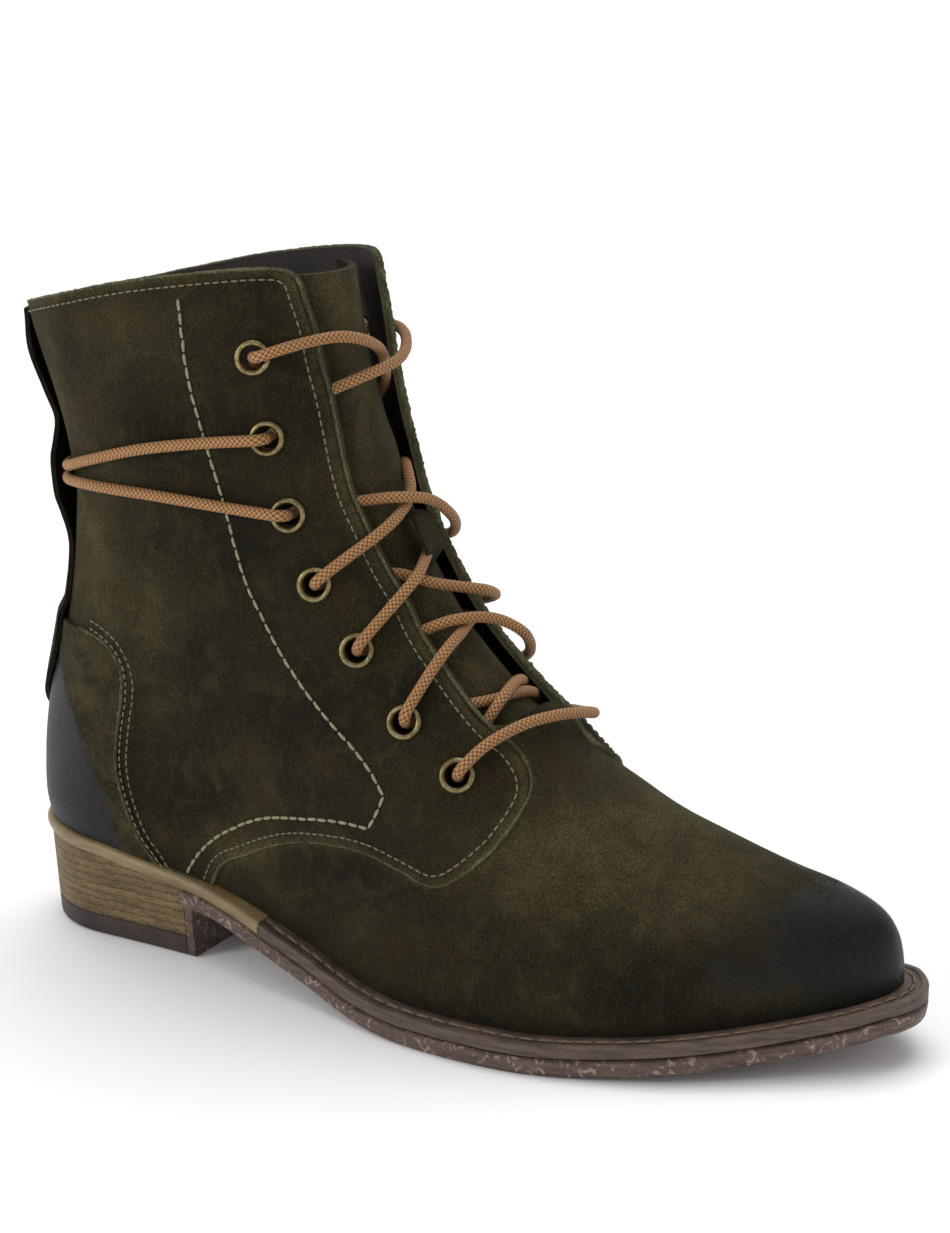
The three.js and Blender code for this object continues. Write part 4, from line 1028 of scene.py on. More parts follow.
def capsule(start, end, up, width, height):
    """Short rounded thread between two points on a surface whose normal is up."""
    along = end - start
    length = np.linalg.norm(along)
    along /= max(length, 1e-9)
    side = np.cross(up, along)
    side /= max(np.linalg.norm(side), 1e-9)
    up = np.cross(along, side)
    rings = []
    for share, size in ((0.0, 0.35), (0.12, 0.8), (0.5, 1.0), (0.88, 0.8), (1.0, 0.35)):
        angles = np.arange(6) * math.pi / 3
        centre = start + along * length * share + up * height * 0.25 * math.sin(math.pi * share)
        rings.append(centre + np.outer(np.cos(angles) * width / 2 * size, side)
                     + np.outer(np.sin(angles) * height / 2 * size, up))
    return lofted(rings)


def stitch_row(batch, points, normals, pitch, share, width, height):
    """Row of stitches along a path on a surface."""
    both = resample(np.concatenate([points, normals], axis=1), pitch)
    for a, b in zip(both[:-1], both[1:]):
        middle = (a[:3] + b[:3]) / 2
        half = (b[:3] - a[:3]) / 2 * share
        up = a[3:] + b[3:]
        up /= np.linalg.norm(up)
        wobble = rng.normal(0, width * 0.08, 3)
        batch.add(*capsule(middle - half + wobble, middle + half, up, width, height))


def make_lace():
    """Round cord along the path, with its turns round and lengths along it as UV."""
    path = resample(lace_path(), 0.9)
    tangents, normals = frames_along(path)
    sides = 12
    angles = np.arange(sides) * 2 * math.pi / sides
    across = np.cross(tangents, normals)
    loops = (
        path[:, None]
        + normals[:, None] * (np.cos(angles) * LACE_DIAMETER / 2)[None, :, None]
        + across[:, None] * (np.sin(angles) * LACE_DIAMETER / 2)[None, :, None]
    )
    count = len(path)
    faces = []
    uvs = []
    for i in range(count - 1):
        for j in range(sides):
            k = (j + 1) % sides
            faces.append((i * sides + j, i * sides + k, (i + 1) * sides + k, (i + 1) * sides + j))
            u0, u1 = j / sides, (j + 1) / sides
            v0, v1 = i * 0.9 / LACE_PITCH, (i + 1) * 0.9 / LACE_PITCH
            uvs += [(u0, v0), (u1, v0), (u1, v1), (u0, v1)]
    obj = make_object("lace_cord", loops.reshape(-1, 3), faces)
    layer = obj.data.uv_layers.new(name="UVMap")
    layer.data.foreach_set("uv", np.array(uvs, np.float32).ravel())
    return obj


LACE_PITCH = 1.5
RING_PROFILE = [
    (3.3, -3.1), (3.15, -3.0), (3.15, -1.0), (3.2, 0.4), (3.4, 0.95), (3.75, 1.35), (4.15, 1.45), (4.55, 1.25),
    (4.85, 0.9), (5.0, 0.5), (4.95, 0.25), (4.6, 0.12), (3.5, 0.12), (3.45, -3.1),
]


def make_eyelet(name, point, normal):
    turn = aim(normal)
    loops = []
    for k in range(32):
        a = 2 * math.pi * k / 32
        local = np.array([(r * math.cos(a), r * math.sin(a), h) for r, h in RING_PROFILE])
        loops.append(local @ np.array(turn).T + point)
    count = len(RING_PROFILE)
    faces = []
    for k in range(32):
        n = (k + 1) % 32
        for j in range(count):
            i = (j + 1) % count
            faces.append((k * count + j, k * count + i, n * count + i, n * count + j))
    return make_object(name, *outward(np.concatenate(loops), faces))


# Threads and fibres

EDGES = {"collar": COLLAR_EDGE, "facing": FACING_EDGE, "quarter": QUARTER_EDGE, "counter": COUNTER_EDGE}


def edge_line(name, side, inset):
    """Side view line at a distance inside one of the upper's edges."""
    return shift_line(spline(EDGES[name], side == INNER), -inset)


def on_side(line, side, off):
    points, normals = on_skin(line[:, 0], line[:, 1], side, np.full(len(line), off))
    return points + crease_shift(points), normals


def crease_shift(points):
    return creases(points[:, None, :])[:, 0]


def quarter_rim(side, inset):
    """Line inside the collar's, facing's and quarter's edges in one run."""
    rows = [*COLLAR_EDGE[:-1], *FACING_EDGE, *QUARTER_EDGE[1:-1]]
    line = resample(spline(rows, side == INNER), 1.5)
    line = shift_line(line, -inset)
    return line[line[:, 0] > back_x(line[:, 1]) + 1.0]


def make_thin_stitches():
    batch = Batch()
    for side in (OUTER, INNER):
        line = quarter_rim(side, 2.7)
        points, normals = on_side(line[3:], side, QUARTER_STEP + 0.1)
        stitch_row(batch, points, normals, 2.5, 0.72, 0.55, 0.5)
        off = QUARTER_STEP + GAP + COUNTER_THICKNESS + 0.1
        for inset in (1.8, 4.2):
            points, normals = on_side(edge_line("counter", side, -inset)[4:], side, off)
            stitch_row(batch, points, normals, 2.4, 0.7, 0.55, 0.5)
    return batch.build("thin_stitches")


def make_thick_stitches():
    batch = Batch()
    for stroke in THICK_SEAM:
        rows = np.array(stroke)
        v = np.linspace(0, len(rows) - 1, len(rows) * 8)
        line = np.stack([by_row(rows[:, 0], v), by_row(rows[:, 1], v)], -1)
        for side in (OUTER, INNER):
            points, normals = on_side(line, side, QUARTER_STEP + 0.2)
            stitch_row(batch, points, normals, 3.7, 0.86, 1.0, 0.8)
    return batch.build("thick_stitches")


def make_welt_stitches():
    batch = Batch()
    line = plan_offset(lambda x: ledge(x) * 0.42)
    keep_outer = line[:, 0] > WELT_NOTCH_X + 2
    line = np.roll(line[keep_outer], 0, 0)
    path = np.column_stack([line, welt_top(line[:, 0]) - 0.35])
    normals = np.tile([0.0, 0.0, 1.0], (len(path), 1))
    stitch_row(batch, path, normals, 5.2, 0.82, 0.8, 0.8)
    return batch.build("welt_stitches")


def fibres(batch, points, normals, out, per_mm, length):
    """Short tapered hairs along a raw edge."""
    spacing = np.linalg.norm(np.diff(points, axis=0), axis=1).sum()
    count = int(per_mm * spacing)
    place = rng.uniform(0, len(points) - 1.001, count)
    i = place.astype(int)
    share = (place - i)[:, None]
    base = points[i] * (1 - share) + points[i + 1] * share
    normal, out = normals[i], out[i]
    along = np.cross(normal, out)
    base = base + normal * rng.uniform(-1.3, 0.2, (count, 1)) - out * 0.3
    lean = out * rng.uniform(0.2, 1, (count, 1)) + along * rng.normal(0, 0.8, (count, 1))
    lean += normal * rng.normal(0.15, 0.4, (count, 1))
    lean /= np.linalg.norm(lean, axis=1, keepdims=True)
    tip = base + lean * length * rng.uniform(0.25, 1.0, (count, 1)) ** 1.5
    wide = FIBRE_WIDTH / 2
    for b, t, n, a in zip(base, tip, normal, along):
        batch.add([b - a * wide, b + a * wide, b + n * wide, t], [(0, 1, 3), (1, 2, 3), (2, 0, 3), (0, 2, 1)])


def bead(batch, points, out, normals, wide, high):
    """Uneven rounded strip along a raw edge."""
    count = len(points)
    swell = 1 + rng.normal(0, 0.13, (count, 8))
    angles = np.arange(8) * math.pi / 4
    loops = (
        points[:, None]
        + out[:, None] * (np.cos(angles) * wide * swell)[..., None]
        + normals[:, None] * (np.sin(angles) * high * swell)[..., None]
    )
    batch.add(*lofted(list(loops)))


FIBRE_WIDTH = 0.16


def raw_edges():
    """Every raw edge: points, directions out of it, normals, and half its thickness."""
    edges = []
    for side in (OUTER, INNER):
        line = quarter_rim(side, 0.0)
        back = shift_line(line, -1.0)
        points, normals = on_side(line, side, QUARTER_STEP - 0.9)
        inside, _ = on_side(back, side, QUARTER_STEP - 0.9)
        edges.append((points, points - inside, normals, 1.0))
        line = resample(spline(COUNTER_EDGE), 1.5)
        off = QUARTER_STEP + GAP + COUNTER_THICKNESS - 0.6
        points, normals = on_side(line, side, off)
        inside, _ = on_side(shift_line(line, -1.0), side, off)
        edges.append((points, points - inside, normals, 0.7))
    return [(p, o / np.linalg.norm(o, axis=1, keepdims=True), n, h) for p, o, n, h in edges]


def make_raw_beads():
    batch = Batch()
    for points, out, normals, high in raw_edges():
        both = resample(np.concatenate([points, out, normals], axis=1), 0.7)
        bead(batch, both[:, :3], both[:, 3:6], both[:, 6:], 0.55, high)
    return batch.build("raw_beads")


def make_fibres():
    batch = Batch()
    for points, out, normals, _ in raw_edges():
        fibres(batch, points, normals, out, 9, 1.9)
    return batch.build("edge_fibres")


def shift_line(line, distance):
    """Side view line moved to its left by a distance."""
    along = np.gradient(line, axis=0)
    along /= np.maximum(np.linalg.norm(along, axis=1, keepdims=True), 1e-9)
    return line + np.stack([-along[:, 1], along[:, 0]], -1) * distance


# Materials

def srgb(r, g, b, alpha=1.0):
    def linear(c):
        c /= 255.0
        return c / 12.92 if c <= 0.04045 else ((c + 0.055) / 1.055) ** 2.4
    return (linear(r), linear(g), linear(b), alpha)


class Nodes:
    """Short calls for a material's nodes."""

    def __init__(self, name):
        self.material = bpy.data.materials.new(name)
        self.material.use_nodes = True
        self.tree = self.material.node_tree
        self.shader = self.tree.nodes["Principled BSDF"]
        self.position = self.add("ShaderNodeTexCoord").outputs["Object"]

    def add(self, kind, **values):
        node = self.tree.nodes.new(kind)
        for key, value in values.items():
            setattr(node, key, value)
        return node

    def link(self, source, target):
        if hasattr(source, "is_output"):
            self.tree.links.new(source, target)
        else:
            target.default_value = source

    def scaled(self, scale, source=None):
        node = self.add("ShaderNodeMapping")
        self.link(source or self.position, node.inputs["Vector"])
        node.inputs["Scale"].default_value = scale
        return node.outputs["Vector"]

    def noise(self, size, detail=3.0, rough=0.55, vector=None, distortion=0.0):
        """Noise whose grains are about size millimetres."""
        node = self.add("ShaderNodeTexNoise")
        self.link(vector or self.position, node.inputs["Vector"])
        node.inputs["Scale"].default_value = 1 / (size * MM)
        node.inputs["Detail"].default_value = detail
        node.inputs["Roughness"].default_value = rough
        node.inputs["Distortion"].default_value = distortion
        return node.outputs["Fac"]

    def attribute(self, name):
        return self.add("ShaderNodeAttribute", attribute_name=name).outputs["Fac"]

    def math(self, operation, a, b=0.0, clamp=False):
        node = self.add("ShaderNodeMath", operation=operation, use_clamp=clamp)
        self.link(a, node.inputs[0])
        self.link(b, node.inputs[1])
        return node.outputs[0]

    def steps(self, value, low, high, out_low=0.0, out_high=1.0):
        """Value between low and high spread between the two outputs, held at both ends."""
        node = self.add("ShaderNodeMapRange", clamp=True)
        for i, entry in enumerate((value, low, high, out_low, out_high)):
            self.link(entry, node.inputs[i])
        return node.outputs[0]

    def mix(self, share, a, b, blend="MIX"):
        node = self.add("ShaderNodeMix", data_type="RGBA", blend_type=blend)
        self.link(share, node.inputs["Factor"])
        self.link(a, node.inputs[6])
        self.link(b, node.inputs[7])
        return node.outputs[2]

    def bump(self, height, distance, strength=1.0, normal=None):
        """Bump of a height from 0 to 1 that stands for distance millimetres."""
        node = self.add("ShaderNodeBump")
        self.link(strength, node.inputs["Strength"])
        node.inputs["Distance"].default_value = distance * MM
        self.link(height, node.inputs["Height"])
        if normal:
            self.link(normal, node.inputs["Normal"])
        return node.outputs["Normal"]

    def finish(self, color, roughness, normal=None, **values):
        self.link(color, self.shader.inputs["Base Color"])
        self.link(roughness, self.shader.inputs["Roughness"])
        if normal:
            self.link(normal, self.shader.inputs["Normal"])
        for key, value in values.items():
            self.shader.inputs[key.replace("_", " ")].default_value = value
        return self.material


def suede_material(name="suede", dark=(22, 20, 8), mid=(40, 36, 19), light=(70, 64, 40)):
    m = Nodes(name)
    cloud = m.noise(34, 3, 0.5)
    patch = m.noise(9, 3, 0.6, distortion=0.6)
    streak = m.noise(1.6, 3, 0.6, m.scaled((1.8, 1.8, 0.35)))
    nap = m.noise(0.6, 3, 0.7)
    fibre = m.noise(0.3, 2, 0.7)
    wear, shade = m.attribute("wear"), m.attribute("shade")
    color = m.mix(m.steps(cloud, 0.38, 0.62), srgb(*dark), srgb(*mid))
    color = m.mix(m.steps(patch, 0.5, 0.76, 0, 0.4), color, srgb(*light))
    color = m.mix(m.steps(streak, 0.5, 0.8, 0, 0.3), color, srgb(*light))
    color = m.mix(m.steps(m.noise(17, 2, 0.5), 0.5, 0.7, 0, 0.5), color, srgb(44, 29, 12))
    rubbed = m.math("MULTIPLY", wear, m.steps(patch, 0.3, 0.6, 0.45, 0.9))
    color = m.mix(rubbed, color, srgb(82, 73, 47))
    # Painted shade: the shade attribute darkens the suede towards near black.
    color = m.mix(m.math("MULTIPLY", shade, 0.7), color, srgb(16, 13, 5))
    grain = m.steps(nap, 0.32, 0.7, 0.35, 1.7)
    grains = m.add("ShaderNodeCombineColor")
    for i in range(3):
        m.link(grain, grains.inputs[i])
    color = m.mix(1.0, color, grains.outputs[0], "MULTIPLY")
    color = m.mix(m.steps(fibre, 0.62, 0.78, 0, 0.35), color, srgb(92, 82, 54))
    burn = m.attribute("burnish")
    ragged = m.math("ADD", burn, m.math("MULTIPLY", m.math("SUBTRACT", nap, 0.5), 2.0))
    ragged = m.math("ADD", ragged, m.math("MULTIPLY", m.math("SUBTRACT", patch, 0.5), 1.1))
    cover = m.steps(ragged, 0.4, 0.75)
    pebble = m.noise(0.9, 3, 0.6)
    burnt = m.mix(m.steps(pebble, 0.35, 0.7), srgb(6, 6, 8), srgb(21, 20, 22))
    color = m.mix(cover, color, burnt)
    rough = m.steps(cover, 0, 1, 1.0, 0.42)
    height = m.math("ADD", m.math("MULTIPLY", nap, 0.6), m.math("MULTIPLY", fibre, 0.4))
    normal = m.bump(patch, 0.6, 0.5)
    normal = m.bump(height, 0.45, m.steps(cover, 0, 1, 0.9, 0.45), normal)
    return m.finish(color, rough, normal, Sheen_Weight=0.05, Sheen_Roughness=0.4,
                    Sheen_Tint=srgb(150, 140, 90), Specular_IOR_Level=0.2)


def burnished_material():
    m = Nodes("burnished_leather")
    heel = m.attribute("burnish")
    grain = m.noise(1.1, 4, 0.6)
    patch = m.noise(7, 3, 0.6)
    ragged = m.math("ADD", heel, m.math("MULTIPLY", m.math("SUBTRACT", patch, 0.5), 0.8))
    ragged = m.math("ADD", ragged, m.math("MULTIPLY", m.math("SUBTRACT", grain, 0.5), 0.8))
    cover = m.steps(ragged, 0.3, 0.75)
    plain = m.mix(m.steps(patch, 0.35, 0.7), srgb(30, 26, 10), srgb(60, 52, 28))
    plain = m.mix(m.steps(grain, 0.5, 0.8, 0, 0.5), plain, srgb(82, 74, 45))
    burnt = m.mix(m.steps(grain, 0.3, 0.75), srgb(7, 8, 12), srgb(22, 22, 26))
    color = m.mix(cover, plain, burnt)
    normal = m.bump(grain, 0.35, 0.7)
    return m.finish(color, m.steps(cover, 0, 1, 0.98, 0.5), normal, Specular_IOR_Level=0.25)


def plain_leather(name, color, rough=0.75, size=0.8, lift=0.25):
    m = Nodes(name)
    grain = m.noise(size, 4, 0.6)
    patch = m.noise(11, 2, 0.5)
    dark = tuple(c * 0.55 for c in color)
    tone = m.mix(m.steps(patch, 0.35, 0.7), srgb(*dark), srgb(*color))
    tone = m.mix(m.steps(grain, 0.55, 0.85, 0, 0.35), tone, srgb(*[min(c * 1.6, 255) for c in color]))
    return m.finish(tone, m.steps(grain, 0.3, 0.8, rough - 0.1, rough + 0.1), m.bump(grain, lift))


def sole_material():
    m = Nodes("scratched_sole")
    lengthwise = m.noise(5, 4, 0.65, m.scaled((0.25, 0.6, 3.0)))
    chips = m.noise(3.5, 5, 0.7, m.scaled((1.2, 1.2, 1.0)), 1.2)
    fine = m.noise(0.8, 3, 0.7, m.scaled((0.4, 0.7, 2.2)))
    color = m.mix(m.steps(lengthwise, 0.35, 0.65), srgb(64, 48, 41), srgb(98, 79, 69))
    color = m.mix(m.steps(chips, 0.56, 0.62, 0, 0.8), color, srgb(160, 138, 124))
    color = m.mix(m.steps(chips, 0.3, 0.42, 0.8, 0), color, srgb(43, 31, 26))
    color = m.mix(m.steps(fine, 0.58, 0.75, 0, 0.55), color, srgb(130, 111, 98))
    height = m.math("ADD", m.math("MULTIPLY", chips, 0.7), m.math("MULTIPLY", fine, 0.3))
    return m.finish(color, m.steps(fine, 0.3, 0.8, 0.5, 0.75), m.bump(height, 0.5, 0.8))


def welt_material():
    m = Nodes("welt_leather")
    band = m.noise(4, 4, 0.65, m.scaled((0.3, 0.5, 3.0)))
    fine = m.noise(0.7, 3, 0.7, m.scaled((0.8, 0.8, 1.4)))
    color = m.mix(m.steps(band, 0.35, 0.65), srgb(60, 46, 39), srgb(94, 76, 66))
    color = m.mix(m.steps(fine, 0.6, 0.78, 0, 0.5), color, srgb(132, 113, 100))
    return m.finish(color, 0.6, m.bump(fine, 0.25))


def rand_material():
    m = Nodes("rand_leather")
    band = m.noise(9, 3, 0.5, m.scaled((0.5, 0.5, 1.5)))
    fine = m.noise(0.9, 3, 0.7)
    color = m.mix(m.steps(band, 0.35, 0.65), srgb(104, 86, 54), srgb(140, 120, 82))
    color = m.mix(m.steps(fine, 0.6, 0.85, 0, 0.3), color, srgb(160, 142, 106))
    return m.finish(color, 0.42, m.bump(fine, 0.12))


def stack_material():
    m = Nodes("stacked_heel")
    wave = m.add("ShaderNodeTexWave", wave_type="BANDS", bands_direction="Z")
    m.link(m.position, wave.inputs["Vector"])
    wave.inputs["Scale"].default_value = 130.0
    wave.inputs["Distortion"].default_value = 2.6
    wave.inputs["Detail"].default_value = 4.0
    wave.inputs["Detail Scale"].default_value = 5.0
    lines = wave.outputs["Fac"]
    speck = m.noise(1.3, 5, 0.8, m.scaled((0.6, 0.6, 1.3)))
    patch = m.noise(6, 3, 0.6, m.scaled((0.5, 0.5, 1.6)))
    color = m.mix(m.steps(patch, 0.35, 0.7), srgb(88, 69, 34), srgb(122, 99, 54))
    color = m.mix(m.steps(lines, 0.0, 0.2, 0.8, 0.0), color, srgb(48, 34, 16))
    color = m.mix(m.steps(speck, 0.53, 0.62, 0, 0.85), color, srgb(52, 36, 16))
    height = m.math("ADD", m.math("MULTIPLY", lines, 0.5), m.math("MULTIPLY", speck, -0.5))
    return m.finish(color, 0.62, m.bump(height, 0.45, 0.8))


def brass_material():
    m = Nodes("antique_brass")
    tarnish = m.noise(1.6, 4, 0.65)
    color = m.mix(m.steps(tarnish, 0.35, 0.7), srgb(150, 138, 100), srgb(92, 80, 52))
    return m.finish(color, m.steps(tarnish, 0.3, 0.8, 0.3, 0.45), m.bump(tarnish, 0.04), Metallic=1.0)


def thread_material(name, color):
    m = Nodes(name)
    twist = m.noise(0.5, 2, 0.6)
    tone = m.mix(m.steps(twist, 0.35, 0.75), srgb(*[c * 0.72 for c in color]), srgb(*color))
    return m.finish(tone, 0.7, m.bump(twist, 0.12))


def fibre_material():
    m = Nodes("raw_fibre")
    tone = m.mix(m.noise(3, 2), srgb(48, 50, 34), srgb(96, 98, 72))
    return m.finish(tone, 0.95)


def lace_material():
    """Round braid: strands run both ways round the cord, over and under."""
    m = Nodes("braided_lace")
    uv = m.add("ShaderNodeUVMap", uv_map="UVMap").outputs["UV"]
    split = m.add("ShaderNodeSeparateXYZ")
    m.link(uv, split.inputs[0])
    around, along = split.outputs[0], split.outputs[1]
    waves = []
    for sign in (1, -1):
        phase = m.math("ADD", m.math("MULTIPLY", around, 6.0 * sign), along)
        waves.append(m.math("ABSOLUTE", m.math("SINE", m.math("MULTIPLY", phase, math.pi))))
    weave = m.math("MAXIMUM", waves[0], waves[1])
    cross = m.math("MINIMUM", waves[0], waves[1])
    lift = m.math("ADD", m.math("MULTIPLY", weave, 0.5), m.math("MULTIPLY", cross, 0.5))
    fuzz = m.noise(0.35, 3, 0.7)
    wear = m.noise(16, 2, 0.5)
    # Painted shade: the cord darkens into the grooves between the strands, by the weave's height.
    color = m.mix(m.steps(lift, 0.45, 0.8), srgb(84, 54, 24), srgb(176, 126, 74))
    color = m.mix(m.steps(fuzz, 0.5, 0.8, 0, 0.45), color, srgb(188, 142, 90))
    color = m.mix(m.steps(wear, 0.45, 0.7, 0, 0.25), color, srgb(130, 88, 46))
    normal = m.bump(lift, 0.3, 0.9)
    return m.finish(color, 0.7, m.bump(fuzz, 0.08, 0.6, normal), Sheen_Weight=0.05)


def floor_material():
    m = Nodes("pale_floor")
    return m.finish(srgb(255, 255, 255), 0.9, Specular_IOR_Level=0.0)


# Per-point values of the leather

def skin_tree():
    tree = KDTree(GRID.shape[0] * GRID.shape[1])
    for i, p in enumerate(GRID.reshape(-1, 3)):
        tree.insert(p, i)
    tree.balance()
    return tree


TREE = skin_tree()
FLAT_NORMALS = GRID_NORMAL.reshape(-1, 3)
FLAT_POINTS = GRID.reshape(-1, 3)


def outward_at(points):
    """Outward normal of the skin, and the height over it, nearest to each point."""
    index = np.array([TREE.find(p)[1] for p in points])
    normals = FLAT_NORMALS[index]
    return normals, np.sum((points - FLAT_POINTS[index]) * normals, 1)


def toe_burnish(p):
    """From 0 on plain suede to 1 on the dark toe cap."""
    x, y, z = p[:, 0], p[:, 1], p[:, 2]
    line = 211.0 - 0.55 * np.abs(y - 2.0)
    low = smooth_step(18.0, 30.0, z)
    return np.clip((x - line) / 30.0 + 0.35, 0, 1.3) * (0.45 + 0.55 * low)


def heel_burnish(p):
    """From 0 on plain leather to 1 at the dark back of the counter."""
    x, z = p[:, 0], p[:, 2]
    line = np.interp(z, [28, 38, 51, 64, 74, 84, 97], [10, 7.5, 4.5, -1, -6, -13, -22])
    return np.clip((line - x) / 7.0 + 0.5, 0, 1.3)


def distance_to_line(x, z, line):
    best = np.full(x.shape, 1e9)
    for (x0, z0), (x1, z1) in zip(line[:-1], line[1:]):
        dx, dz = x1 - x0, z1 - z0
        share = np.clip(((x - x0) * dx + (z - z0) * dz) / (dx * dx + dz * dz + 1e-9), 0, 1)
        best = np.minimum(best, np.hypot(x - x0 - share * dx, z - z0 - share * dz))
    return best


def set_attribute(obj, name, values):
    attribute = obj.data.attributes.new(name, "FLOAT", "POINT")
    attribute.data.foreach_set("value", np.ascontiguousarray(values, np.float32))


def points_of(obj):
    co = np.empty(len(obj.data.vertices) * 3)
    obj.data.vertices.foreach_get("co", co)
    return co.reshape(-1, 3) / MM


def soft_shading(obj, angle=38):
    obj.data.shade_smooth()
    obj.data.set_sharp_from_angle(angle=math.radians(angle))


# Lighter rubbed places: middle and half size in the side view, strength
WORN = [
    ((175, 58), (32, 14), 0.6), ((150, 55), (18, 12), 0.35), ((2, 125), (14, 26), 0.55), ((8, 78), (8, 22), 0.5),
    ((28, 105), (10, 10), 0.35), ((50, 40), (12, 6), 0.5), ((-8, 165), (6, 30), 0.45), ((20, 190), (18, 8), 0.3),
    ((74, 195), (7, 14), 0.4), ((190, 42), (16, 8), 0.45), ((212, 24), (14, 5), 0.3), ((90, 150), (6, 22), 0.25),
]
# Painted shade: darker places in the same form
SHADED = [
    ((62, 150), (16, 48), 0.45), ((30, 160), (12, 22), 0.35), ((20, 60), (14, 12), 0.35), ((120, 60), (26, 12), 0.45),
    ((70, 100), (24, 16), 0.3), ((96, 130), (10, 18), 0.3), ((150, 32), (40, 7), 0.35),
]


def paint_leather(obj):
    """Burnish, wear and painted shade of the suede."""
    p = points_of(obj)
    x, y, z = p.T
    facing = distance_to_line(x, z, spline(FACING_EDGE)[::3])
    seam = distance_to_line(x, z, spline(QUARTER_EDGE)[::3])
    collar = distance_to_line(x, z, spline(COLLAR_EDGE)[::3])
    edge = np.minimum(np.minimum(facing, seam), collar)
    wear = 0.55 * np.exp(-((edge / 1.6) ** 2))
    for (cx, cz), (wx, wz), strength in WORN:
        wear += strength * np.exp(-(((x - cx) / wx) ** 2) - (((z - cz) / wz) ** 2))
    # Painted shade along the foot of the upper, darkest at the welt and gone within a few millimetres.
    low = np.exp(-((np.maximum(z - seat_height(x), 0) / 6) ** 2))
    shade = 0.55 * low
    for (cx, cz), (wx, wz), strength in SHADED:
        shade += strength * np.exp(-(((x - cx) / wx) ** 2) - (((z - cz) / wz) ** 2))
    set_attribute(obj, "burnish", toe_burnish(p))
    set_attribute(obj, "wear", np.clip(wear, 0, 1))
    set_attribute(obj, "shade", np.clip(shade, 0, 1))


def split_materials(obj, outside, inside, raw):
    """Outside, lining and cut edge by how each face lies to the skin."""
    mesh = obj.data
    count = len(mesh.polygons)
    centre, normal = np.empty(count * 3), np.empty(count * 3)
    mesh.polygons.foreach_get("center", centre)
    mesh.polygons.foreach_get("normal", normal)
    out, _ = outward_at(centre.reshape(-1, 3) / MM)
    facing = np.sum(out * normal.reshape(-1, 3), 1)
    index = np.where(facing > 0.45, 0, np.where(facing < -0.45, 1, 2))
    mesh.materials.clear()
    for material in (outside, inside, raw):
        mesh.materials.append(material)
    mesh.polygons.foreach_set("material_index", index.astype(np.int32))


def keep(obj, slot, *nodes, material=None):
    """Puts a finished piece on the boot, for the nodes that it stands for."""
    if material:
        obj.data.materials.clear()
        obj.data.materials.append(material)
    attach(obj, "root")
    if nodes:
        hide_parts(*nodes)
    return obj


# Camera, light and floor

CAMERA_AZIMUTH, CAMERA_ELEVATION, CAMERA_ROLL = 29.66, 16.33, -0.44
CAMERA_DISTANCE = 700.0
CAMERA_TARGET = np.array([90.0, 0.0, 90.0])
PHOTO_WIDTH, PHOTO_HEIGHT = 950, 1233
FOCAL_PIXELS = 2448.0
TARGET_SHIFT = (-73.6, 53.9)
SENSOR = 36.0


def make_camera():
    a, e, r = (math.radians(v) for v in (CAMERA_AZIMUTH, CAMERA_ELEVATION, CAMERA_ROLL))
    back = Vector((math.sin(a) * math.cos(e), -math.cos(a) * math.cos(e), math.sin(e)))
    right = Vector((math.cos(a), math.sin(a), 0))
    up = back.cross(right)
    right, up = right * math.cos(r) + up * math.sin(r), up * math.cos(r) - right * math.sin(r)
    data = bpy.data.cameras.new("camera")
    data.sensor_width = SENSOR
    data.lens = FOCAL_PIXELS * SENSOR / PHOTO_HEIGHT
    data.shift_x = -TARGET_SHIFT[0] / PHOTO_HEIGHT
    data.shift_y = TARGET_SHIFT[1] / PHOTO_HEIGHT
    data.clip_start, data.clip_end = 0.01, 20
    camera = bpy.data.objects.new("camera", data)
    turn = Matrix((right, up, back)).transposed().to_4x4()
    camera.matrix_world = Matrix.Translation((CAMERA_TARGET + CAMERA_DISTANCE * np.array(back)) * MM) @ turn
    bpy.context.scene.collection.objects.link(camera)
    bpy.context.scene.camera = camera


def area_light(name, place, target, size, power, color=(1, 1, 1)):
    data = bpy.data.lights.new(name, "AREA")
    data.shape = "RECTANGLE"
    data.size, data.size_y = size
    data.energy = power
    data.color = color
    light = bpy.data.objects.new(name, data)
    light.location = place
    light.rotation_euler = (Vector(target) - Vector(place)).to_track_quat("-Z", "Y").to_euler()
    bpy.context.scene.collection.objects.link(light)


WORLD_LIGHT = 0.55


def make_world():
    """Sky that is white at the horizon and weaker overhead."""
    world = bpy.data.worlds.new("studio")
    world.use_nodes = True
    tree = world.node_tree
    place = tree.nodes.new("ShaderNodeTexCoord")
    split = tree.nodes.new("ShaderNodeSeparateXYZ")
    fade = tree.nodes.new("ShaderNodeMapRange")
    fade.inputs["From Min"].default_value = 0.02
    fade.inputs["From Max"].default_value = 0.35
    fade.inputs["To Min"].default_value = 1.0
    fade.inputs["To Max"].default_value = WORLD_LIGHT
    background = tree.nodes["Background"]
    background.inputs["Color"].default_value = (1, 1, 1, 1)
    tree.links.new(place.outputs["Generated"], split.inputs[0])
    tree.links.new(split.outputs["Z"], fade.inputs["Value"])
    tree.links.new(fade.outputs["Result"], background.inputs["Strength"])
    bpy.context.scene.world = world


def make_studio():
    make_world()
    bpy.context.scene.view_settings.view_transform = "Standard"
    data = bpy.data.lights.new("sky", "SUN")
    data.energy, data.angle = 1.6, math.radians(50)
    sky = bpy.data.objects.new("sky", data)
    sky.rotation_euler = Vector((0.1, -0.3, -1)).to_track_quat("-Z", "Y").to_euler()
    bpy.context.scene.collection.objects.link(sky)
    area_light("front_left", (-0.6, -1.0, 0.6), (0.06, 0, 0.12), (0.4, 0.4), 4.8)
    size = 200.0
    floor = make_object("floor", [(-size, -size, 0), (size, -size, 0), (size, size, 0), (-size, size, 0)],
                        [(0, 1, 2, 3)], scale=1.0)
    floor.data.materials.append(floor_material())


make_camera()
make_studio()

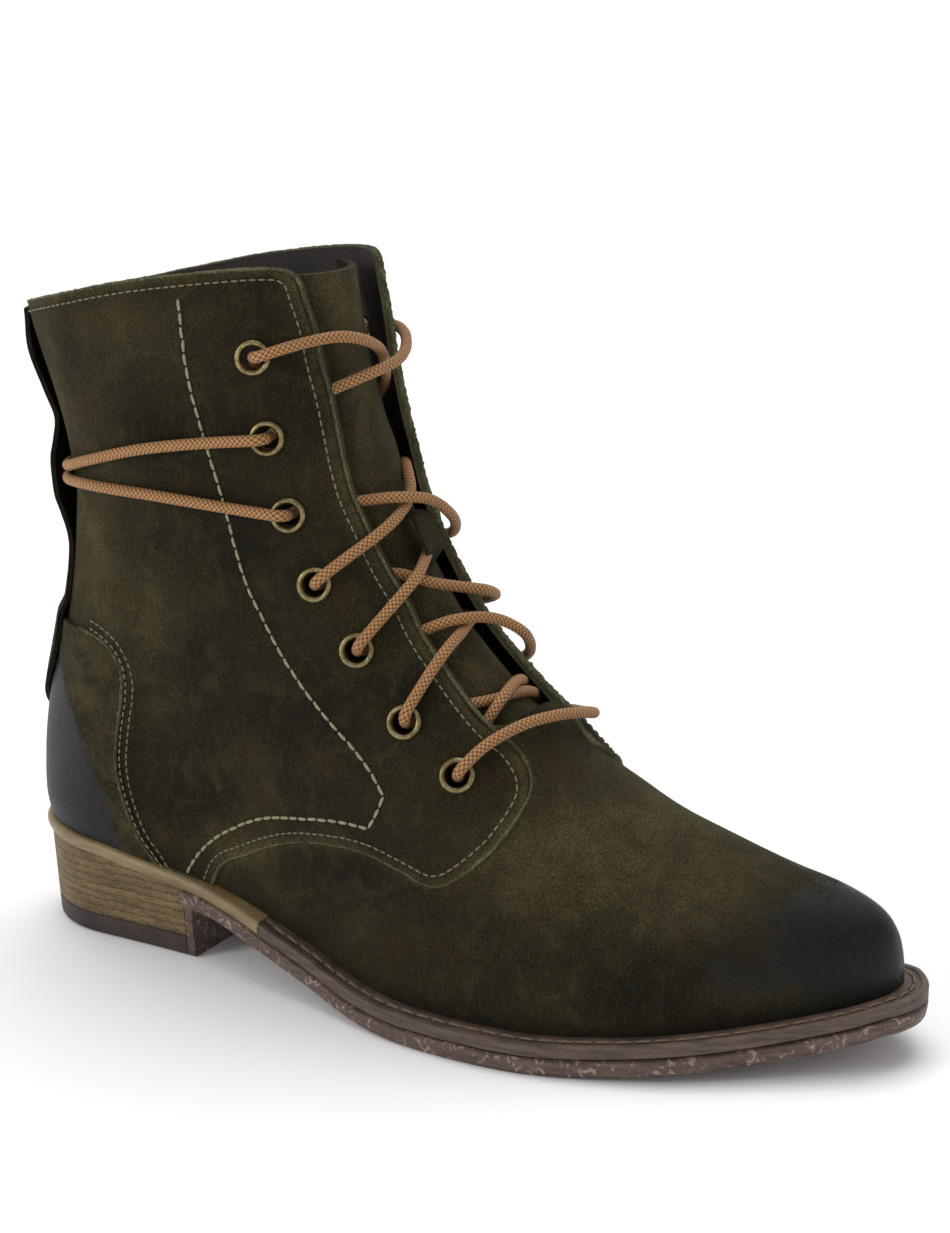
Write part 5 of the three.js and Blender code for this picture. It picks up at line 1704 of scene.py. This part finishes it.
SUEDE = suede_material()
BURNISHED = burnished_material()
LINING = plain_leather("brown_lining", (40, 28, 23), 0.75)
RAW = suede_material("raw_edge", (64, 66, 46), (98, 98, 72), (144, 144, 112))
THREAD = thread_material("light_thread", (128, 125, 98))
THICK_THREAD = thread_material("seam_thread", (160, 156, 122))
WELT_THREAD = thread_material("welt_thread", (136, 114, 84))

upper = make_upper()
paint_leather(upper)
split_materials(upper, SUEDE, LINING, RAW)
soft_shading(upper)
keep(upper, "suede", "upper")

counter = make_counter()
set_attribute(counter, "burnish", heel_burnish(points_of(counter)))
soft_shading(counter)
keep(counter, "burnished_leather", "counter", material=BURNISHED)

tongue = make_tongue()
paint_leather(tongue)
soft_shading(tongue)
keep(tongue, "suede", "tongue", material=SUEDE)

keeper = make_keeper()
soft_shading(keeper)
keep(keeper, "suede", "tongue_keeper", material=SUEDE)

backstay = make_backstay()
soft_shading(backstay)
STRAP = suede_material("strap_suede", (14, 13, 8), (26, 24, 16), (50, 46, 30))
keep(backstay, "dark_leather", "backstay", material=STRAP)

outsole = make_outsole()
soft_shading(outsole, 30)
keep(outsole, "sole", "outsole", material=sole_material())
welt = make_welt()
soft_shading(welt, 30)
keep(welt, "trim", "welt", material=welt_material())
rand = make_rand()
soft_shading(rand, 30)
keep(rand, "trim", "heel_rand", material=rand_material())
stack, lift = make_heel()
soft_shading(stack, 30)
keep(stack, "heel_stack", "heel_block", material=stack_material())
soft_shading(lift, 30)
keep(lift, "heel_lift", "heel_lift", material=plain_leather("lift_rubber", (56, 40, 34), 0.6, 1.2, 0.15))
insole = make_insole()
soft_shading(insole)
keep(insole, "lining", "insole", material=LINING)

brass = brass_material()
for side, row, point, normal in PLACES:
    where = "outer" if side == OUTER else "inner"
    eyelet = make_eyelet(f"ring_{where}_{row + 1}", point + crease_shift(point[None])[0], normal)
    soft_shading(eyelet, 50)
    keep(eyelet, "brass", f"eyelet_{where}_{row + 1}", material=brass)

lace = make_lace()
soft_shading(lace, 60)
keep(lace, "lace", "lace", material=lace_material())

for thread, slot, material in (
    (make_thin_stitches(), "suede", THREAD),
    (make_thick_stitches(), "suede", THICK_THREAD),
    (make_welt_stitches(), "trim", WELT_THREAD),
    (make_raw_beads(), "suede", RAW),
    (make_fibres(), "suede", fibre_material()),
):
    keep(thread, slot, material=material)
